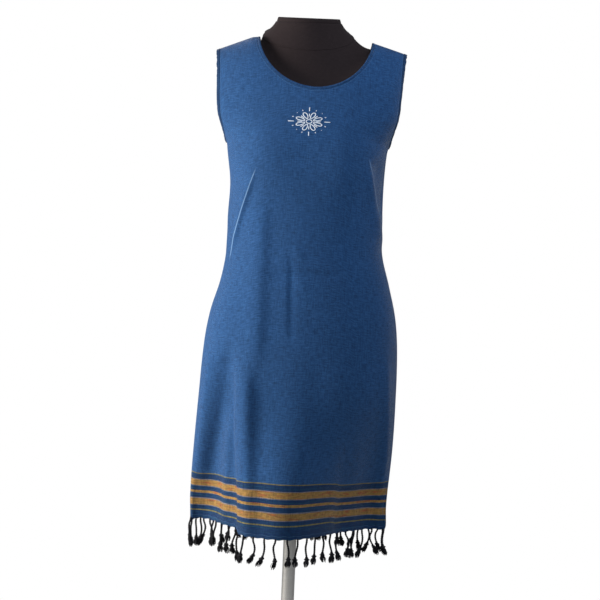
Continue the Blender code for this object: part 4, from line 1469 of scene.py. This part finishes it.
left_binding = make_binding("left_armhole_strip", armhole_frames(0),
                            ARMHOLE_BINDING_WIDTH, PUCKER_DEPTH)
right_binding = make_binding("right_armhole_strip", armhole_frames(COLUMNS),
                             ARMHOLE_BINDING_WIDTH, PUCKER_DEPTH)
neck_strip = make_binding("neck_strip", edge_frames(neck_edge(ROWS)),
                          NECK_BINDING_WIDTH, NECK_PUCKER_DEPTH)
dress_up(left_binding, BINDING_COTTON, "binding_cotton", "armhole_binding_left")
dress_up(right_binding, BINDING_COTTON, "binding_cotton", "armhole_binding_right")
dress_up(neck_strip, NECK_COTTON, "binding_cotton", "neck_binding")

# %% [markdown]
# ## Topstitching
#
# A running stitch is one thread that comes up, lies on the cloth for one stitch, and goes down
# again. So each line of stitches is a thin tube whose height over the cloth rises and falls with
# the stitch's length, and its lower half is hidden in the cloth's wall. Lines follow the neck, both
# armholes, the slits' edges and the hem.

# %% Sewing thread
PLY_SHADE = (0.82, 0.84, 0.90, 1.0)


def make_thread_material(name, colour, sheen):
    """Twisted sewing thread: fine ply marks and a soft shine."""
    material, tree, shader = start_material(name, roughness=0.62, specular=0.3)
    ply = stretched_noise(tree, own_place(tree), (1800.0, 1800.0, 1800.0), detail=1.0)
    dark = mix_colours(tree, 1.0, colour, PLY_SHADE, "MULTIPLY")
    tree.links.new(mix_colours(tree, ply, dark, colour), shader.inputs["Base Color"])
    add_bump(tree, shader, ply, strength=0.4, distance=0.0002)
    add_sheen(shader, sheen, roughness=0.4, tint=WHITE)
    return material


STITCH_THREAD = make_thread_material("blue sewing thread", (0.060, 0.160, 0.340, 1.0), sheen=0.1)
print("material:", STITCH_THREAD.name)

# %% Lines of stitches
STITCH_LENGTH = 0.0030
STITCH_STEPS = 4
THREAD_RADIUS = 0.00026
THREAD_SIDES = 5
THREAD_LIFT = 0.00030
OVER_CLOTH = 0.002


def even_steps(points, step, closed):
    """Points at even steps along a line of points."""
    if closed:
        points = points + points[:1]
    lengths = [0.0]
    for start, end in zip(points, points[1:]):
        lengths.append(lengths[-1] + (end - start).length)
    count = max(2, round(lengths[-1] / step))
    spaced, i = [], 0
    for number in range(count if closed else count + 1):
        distance = min(number * lengths[-1] / count, lengths[-1])
        while i < len(points) - 2 and distance > lengths[i + 1]:
            i += 1
        share = (distance - lengths[i]) / max(lengths[i + 1] - lengths[i], 1e-9)
        spaced.append(points[i].lerp(points[i + 1], share))
    return spaced


def on_cloth(piece, point, out):
    """The place and outward direction on a panel's outer face nearest to a point."""
    _, place, normal, _ = piece.closest_point_on_mesh(point + out * OVER_CLOTH)
    return place, normal


def thread_frames(points, outs):
    """Frames along a thread, from its points and the cloth's outward directions."""
    frames = []
    for i, (point, out) in enumerate(zip(points, outs)):
        along = (points[min(i + 1, len(points) - 1)] - points[max(i - 1, 0)]).normalized()
        frames.append((point, out, along.cross(out).normalized()))
    return frames


def stitch_line(name, panel, points, outs):
    """A running stitch on a panel along some points."""
    spaced = even_steps(points, STITCH_LENGTH / STITCH_STEPS, closed=False)
    placed = []
    for point in spaced:
        nearest = min(range(len(points)), key=lambda i: (points[i] - point).length_squared)
        placed.append(on_cloth(panel, point, outs[nearest]))
    frames = thread_frames([place for place, _ in placed], [out for _, out in placed])

    def section(row):
        rise = THREAD_LIFT * math.cos(2 * math.pi * (row + 0.5) / STITCH_STEPS)
        return round_profile(THREAD_SIDES, THREAD_RADIUS, lift=rise)

    return tube(name, frames, section, closed=False)


def inset_line(skin, pairs, inset):
    """Points on a panel at a distance in from its edge, with the cloth's directions."""
    points, outs = [], []
    for spot, neighbour in pairs:
        point, out = skin[spot]
        inward = (skin[neighbour][0] - point).normalized()
        points.append(point + inward * inset)
        outs.append(out)
    return points, outs


print("stitches of", STITCH_LENGTH * 1000, "mm in", STITCH_STEPS, "steps")

# %% Topstitching
NECK_STITCH_INSET = 0.0030
ARMHOLE_STITCH_INSET = 0.0016
SLIT_STITCH_INSET = 0.0060
HEM_STITCH_RISE = 0.0062
ARMHOLE_STITCH_START = 2
HEM_STITCH_START = 3


def stitched_edges():
    """The edges of a panel that are stitched, each with how far in from it the stitches lie."""
    slit_share = (SLIT_TOP - HEM_HEIGHT) / (UNDERARM_HEIGHT - HEM_HEIGHT)
    edges = [(neck_edge(ROWS - 1), NECK_STITCH_INSET)]
    for column in (0, COLUMNS):
        edges.append((side_edge(column, range(UNDERARM_ROW + ARMHOLE_STITCH_START, ROWS)),
                      ARMHOLE_STITCH_INSET))
        edges.append((side_edge(column, range(round(slit_share * UNDERARM_ROW) + 1)),
                      SLIT_STITCH_INSET))
    hem = range(HEM_STITCH_START, COLUMNS - HEM_STITCH_START + 1)
    edges.append(([((column, 0), (column, 1)) for column in hem], HEM_STITCH_RISE))
    return edges


def make_stitches():
    """All lines of stitches, joined into one piece."""
    threads = []
    for panel, skin in ((front, front_skin), (back, back_skin)):
        for pairs, inset in stitched_edges():
            points, outs = inset_line(skin, pairs, inset)
            threads.append(stitch_line("thread_%02d" % len(threads), panel, points, outs))
    return join_into("topstitching", threads)


topstitching = make_stitches()
smooth_by_angle(topstitching, 80)
dress_up(topstitching, STITCH_THREAD, "dress_cotton")

# %% [markdown]
# ## The fringe
#
# The warp ends are twisted in pairs, knotted, and cut to a short brush. Each cord is a tube whose
# section has two lobes that turn as it goes down, which is how a two-ply cord looks. It swells at
# the knot, and the brush below is a bundle of thin loose ends. Each tassel hangs and swings as its
# solid does.

# %% Yarn


def make_yarn():
    """Black cotton yarn: fine fibres, nearly no gloss."""
    material, tree, shader = start_material("black cotton yarn", roughness=0.94, specular=0.10)
    fibres = stretched_noise(tree, own_place(tree), (2200.0, 2200.0, 900.0), detail=3.0)
    colour = mix_colours(tree, fibres, (0.006, 0.006, 0.008, 1.0), (0.020, 0.020, 0.024, 1.0))
    tree.links.new(colour, shader.inputs["Base Color"])
    add_bump(tree, shader, fibres, strength=0.6, distance=0.0004)
    add_sheen(shader, weight=0.04, roughness=0.5, tint=(0.7, 0.75, 1.0, 1.0))
    return material


YARN = make_yarn()
print("material:", YARN.name)

# %% Cord and knot
TASSEL_LENGTH = 0.050
LENGTH_VARIATION = 0.0025
LENGTH_STEP = 1.9
CORD_RADIUS = 0.0021
CORD_SIDES = 10
CORD_ROWS = 62
CORD_START = -0.03
CORD_HOLD = 0.0005
CORD_END = 0.88
TAPER_START = 0.80
ROOT_WIDTH_SHARE = 0.65
ROOT_REACH = 0.07
PLY_TURN = 0.0080
PLY_GROOVE = 0.38
KNOT_SHARE = 0.740
KNOT_HALF_SHARE = 0.065
KNOT_RISE = 0.0031
KNOT_LUMP = 0.16
KNOT_WINDING = 40.0


def knottedness(share):
    """How near a place on the cord is to its knot, from 0 far away to 1 in its middle."""
    return math.exp(-((share - KNOT_SHARE) / KNOT_HALF_SHARE) ** 2)


def cord_radius(share):
    """The cord's radius down its length: a narrow root, the plain cord, the knot, a closed end."""
    root = blend(ROOT_WIDTH_SHARE, 1.0, smooth_step((share - CORD_START) / ROOT_REACH))
    end = 1.0 - smooth_step((share - TAPER_START) / (CORD_END - TAPER_START))
    return (CORD_RADIUS * root + KNOT_RISE * knottedness(share)) * end


print("radius at the knot:", round(cord_radius(KNOT_SHARE) * 1000, 1), "mm")

# %% One tassel
SWAY_CURVE = 1.5
TASSEL_LEAN = 0.0015
BRUSH_START = 0.76
BRUSH_REACH = 0.0062
BRUSH_CORE = 0.35
# shares of a half wave: how wide the brush is at its knot and at its tips
BRUSH_SWELL = (0.10, 0.76)
LOOSE_ENDS = 38
LOOSE_END_STEPS = 4
LOOSE_END_RADIUS = 0.00100
LOOSE_END_SIDES = 3
LOOSE_END_TAPER = 0.6
LOOSE_END_BOW = 0.0006
RAGGEDNESS = 0.05
CURL_LARGEST = 0.0036
CURL_SMALLEST_SHARE = 0.3
CURL_TURN = 6.0
CURL_LEAN = 0.4
STIFF_SHARE = 0.3
FIRST_SEED = 100


def make_tassel(name, point, out, sway, number):
    """One knotted cord and its brush, hanging from a point of the hem."""
    out = Vector((out.x, out.y, 0.0)).normalized()
    along = Vector((-out.y, out.x, 0.0))
    if along.x < 0:
        along = -along
    cord_turns, end_turns = even_turns(CORD_SIDES), even_turns(LOOSE_END_SIDES)
    start = point - out * WALL / 2 + Vector((0.0, 0.0, CORD_HOLD))
    length = TASSEL_LENGTH + LENGTH_VARIATION * math.sin(LENGTH_STEP * number)
    chance = np.random.default_rng(FIRST_SEED + number)
    turned_by, lump, curl_start, curl_out = chance.uniform(0.0, 2 * math.pi, 4)
    curl = CURL_LARGEST * chance.uniform(CURL_SMALLEST_SHARE, 1.0)
    ends = chance.uniform(-1.0, 1.0, (LOOSE_ENDS, 4))

    def middle(share):
        bend = max(share, 0.0)
        loose = smooth_step(bend / STIFF_SHARE)
        swing = math.sin(CURL_TURN * bend + curl_start) - math.sin(curl_start)
        lean = math.sin(math.pi * bend + number) + CURL_LEAN * math.sin(CURL_TURN * bend + curl_out)
        return (start + along * (sway * bend ** SWAY_CURVE + curl * swing * loose)
                + out * TASSEL_LEAN * lean * loose
                - Vector((0.0, 0.0, length * share)))

    def around(angle):
        return along * math.cos(angle) + out * math.sin(angle)

    def cord(column, row):
        share = blend(CORD_START, CORD_END, row / CORD_ROWS)
        turn = cord_turns[column % CORD_SIDES]
        twist = 2 * math.pi * share * length / PLY_TURN + turned_by
        radius = cord_radius(share) * blend(1.0 - PLY_GROOVE, 1.0, abs(math.cos(turn - twist)))
        winding = math.sin(2.0 * turn + lump + KNOT_WINDING * share)
        radius *= 1.0 + KNOT_LUMP * knottedness(share) * winding
        return middle(share) + around(turn) * radius

    def brush(column, row):
        end, step = divmod(row, LOOSE_END_STEPS + 1)
        spread, turn, ragged, bow = ends[end]
        down = step / (LOOSE_END_STEPS - 1)
        share = blend(BRUSH_START, 1.0 + RAGGEDNESS * ragged, down)
        swell = math.sin(math.pi * blend(*BRUSH_SWELL, down))
        reach = BRUSH_REACH * blend(BRUSH_CORE, 1.0, abs(spread)) * swell
        reach += LOOSE_END_BOW * bow * math.sin(math.pi * down)
        corner = end_turns[column % LOOSE_END_SIDES]
        thin = LOOSE_END_RADIUS * (1.0 - LOOSE_END_TAPER * down)
        return middle(share) + around(math.pi * turn) * reach + around(corner) * thin

    strand, _ = mapped_grid(name, CORD_SIDES, CORD_ROWS, cord)
    tuft, _ = mapped_grid(name + "_brush", LOOSE_END_SIDES, LOOSE_ENDS * (LOOSE_END_STEPS + 1) - 1,
                          brush, drop=lambda spot: spot[1] % (LOOSE_END_STEPS + 1) == LOOSE_END_STEPS)
    return [strand, tuft]


print("loose ends in a brush:", LOOSE_ENDS)

# %% Fringe
BACK_SWAY = 0.006
SWAY_STEP = 2.3
FRONT_SWAY = (0.004, -0.002, 0.005, -0.011, 0.002, 0.002, -0.004, -0.002, -0.009, -0.006, -0.010,
              -0.004, 0.003, -0.003, 0.002, -0.002, 0.004, 0.004, 0.004, 0.006, -0.004, -0.008,
              0.010, 0.006)


def hem_line(skin):
    """The hem's points and directions from left to right, with the distance along it."""
    line = []
    for column in range(COLUMNS + 1):
        point, out = skin[column, 0]
        run = line[-1][0] + (point - line[-1][1]).length if line else 0.0
        line.append((run, point, out))
    return line


def read_line(line, distance):
    """The point and direction at a distance along a line."""
    i = next(i for i in range(len(line) - 1) if line[i + 1][0] >= distance)
    share = (distance - line[i][0]) / (line[i + 1][0] - line[i][0])
    return line[i][1].lerp(line[i + 1][1], share), line[i][2].lerp(line[i + 1][2], share)


def make_fringe(name, side, skin):
    """All the tassels of one panel, at even distances along its hem."""
    line = hem_line(skin)
    spacing = line[-1][0] / TASSELS_PER_PANEL
    parts = []
    for number in range(TASSELS_PER_PANEL):
        point, out = read_line(line, (number + 0.5) * spacing)
        sway = FRONT_SWAY[number] if side < 0 else BACK_SWAY * math.sin(SWAY_STEP * number)
        parts += make_tassel("tassel_%02d" % number, point, out, sway, number)
    fringe = join_into(name, parts)
    close_up(fringe)
    smooth_by_angle(fringe, 60)
    return fringe


front_fringe = make_fringe("front_tassels", -1, front_skin)
back_fringe = make_fringe("back_tassels", 1, back_skin)
dress_up(front_fringe, YARN, "fringe_yarn", "fringe_front")
dress_up(back_fringe, YARN, "fringe_yarn", "fringe_back")

# %% [markdown]
# ## Embroidery
#
# A small motif in pale blue thread sits under the neck: a plain flower with a ring, eight petals,
# rays and knots. Each line is drawn flat and then laid onto the cloth along the line of sight, so
# it follows the chest. A satin stitch is a row of short stitches across the line, so its tube is
# flat and ridged.

# %% Motif
RING_RADIUS = 0.0042
RING_STEPS = 30
PETALS = 8
PETAL_STEPS = 40
PETAL_BASE_SHARE = 0.55
PETAL_START = 0.0068
PETAL_END = 0.0205
PETAL_HALF_WIDTH = 0.0036
RAY_STARTS = (0.0105, 0.0225)
RAY_ENDS = (0.0175, 0.0315)
KNOT_PLACE = 0.0260
KNOT_STITCH = (0.0010, 0.0004)
FLARE_START = KNOT_PLACE * 0.95
FLARE_LENGTH = 0.0026


def round_motif(radius, angle):
    """A flat point at a distance from the motif's middle, at an angle round it."""
    return radius * math.cos(angle), radius * math.sin(angle)


def petal_outline(angle):
    """A leaf-shaped outline from the ring outward, at an angle round the motif."""
    points = []
    for turn in even_turns(PETAL_STEPS):
        along = blend(PETAL_START, PETAL_END, 0.5 - 0.5 * math.cos(turn))
        fullness = blend(PETAL_BASE_SHARE, 1.0, math.sin(turn / 2) ** 2)
        aside = PETAL_HALF_WIDTH * math.sin(turn) * fullness
        points.append((along * math.cos(angle) - aside * math.sin(angle),
                       along * math.sin(angle) + aside * math.cos(angle)))
    return points


def motif_lines():
    """The motif's lines as (flat points, closed): the ring, the petals, the rays and the knots."""
    lines = [([round_motif(RING_RADIUS, turn) for turn in even_turns(RING_STEPS)], True)]
    for petal in range(PETALS):
        angle = 2 * math.pi * (petal + 0.5) / PETALS
        lines.append((petal_outline(angle), True))
        between = 2 * math.pi * petal / PETALS
        long_ray = petal % 2 == 0
        for start, end in list(zip(RAY_STARTS, RAY_ENDS))[:2 if long_ray else 1]:
            lines.append(([round_motif(start, between), round_motif(end, between)], False))
        tip = round_motif(PETAL_START if long_ray else KNOT_PLACE, between)
        lines.append(([tip, (tip[0] + KNOT_STITCH[0], tip[1] + KNOT_STITCH[1])], False))
        flare = [round_motif(FLARE_START, angle), round_motif(FLARE_START + FLARE_LENGTH, angle)]
        lines.append((flare, False))
    return lines


print("lines in the motif:", len(motif_lines()))

# %% Embroidery
MOTIF_MIDDLE = (0.003, 1.2650)
MOTIF_STRETCH = (1.25, 0.86)
IN_FRONT = -0.5
SATIN_HALF_WIDTH = 0.00085
SATIN_STEP = 0.0006
SATIN_SIDES = 6
SATIN_RIDGE = 0.84
SATIN_FLATNESS = 0.62
SATIN_LIFT = 0.00008
SATIN_TIP = 0.35
SATIN_TIP_GROWTH = 0.5


def satin_line(name, flat, closed):
    """A line of satin stitch laid on the front panel along the line of sight."""
    stretched = [Vector((x * MOTIF_STRETCH[0], z * MOTIF_STRETCH[1], 0.0)) for x, z in flat]
    hits = []
    for spot in even_steps(stretched, SATIN_STEP, closed):
        start = Vector((MOTIF_MIDDLE[0] + spot.x, IN_FRONT, MOTIF_MIDDLE[1] + spot.y))
        _, place, out, _ = front.ray_cast(start, Vector((0.0, 1.0, 0.0)))
        hits.append((place, out))
    frames = []
    for i, (place, out) in enumerate(hits):
        after = hits[(i + 1) % len(hits)] if closed else hits[min(i + 1, len(hits) - 1)]
        before = hits[i - 1] if closed or i else hits[0]
        along = (after[0] - before[0]).normalized()
        frames.append((place, out, along.cross(out).normalized()))

    def section(row):
        radius = SATIN_HALF_WIDTH * (1.0 if row % 2 else SATIN_RIDGE)
        if not closed:
            radius *= min(1.0, SATIN_TIP + SATIN_TIP_GROWTH * min(row, len(frames) - 1 - row))
        return round_profile(SATIN_SIDES, radius, SATIN_FLATNESS, SATIN_LIFT)

    return tube(name, frames, section, closed=closed)


PALE_THREAD = make_thread_material("pale blue thread", (0.880, 0.940, 1.000, 1.0), 0.6)
satin = [satin_line("satin_%02d" % number, *line) for number, line in enumerate(motif_lines())]
embroidery = join_into("embroidery", satin)
smooth_by_angle(embroidery, 80)
dress_up(embroidery, PALE_THREAD, "dress_cotton")
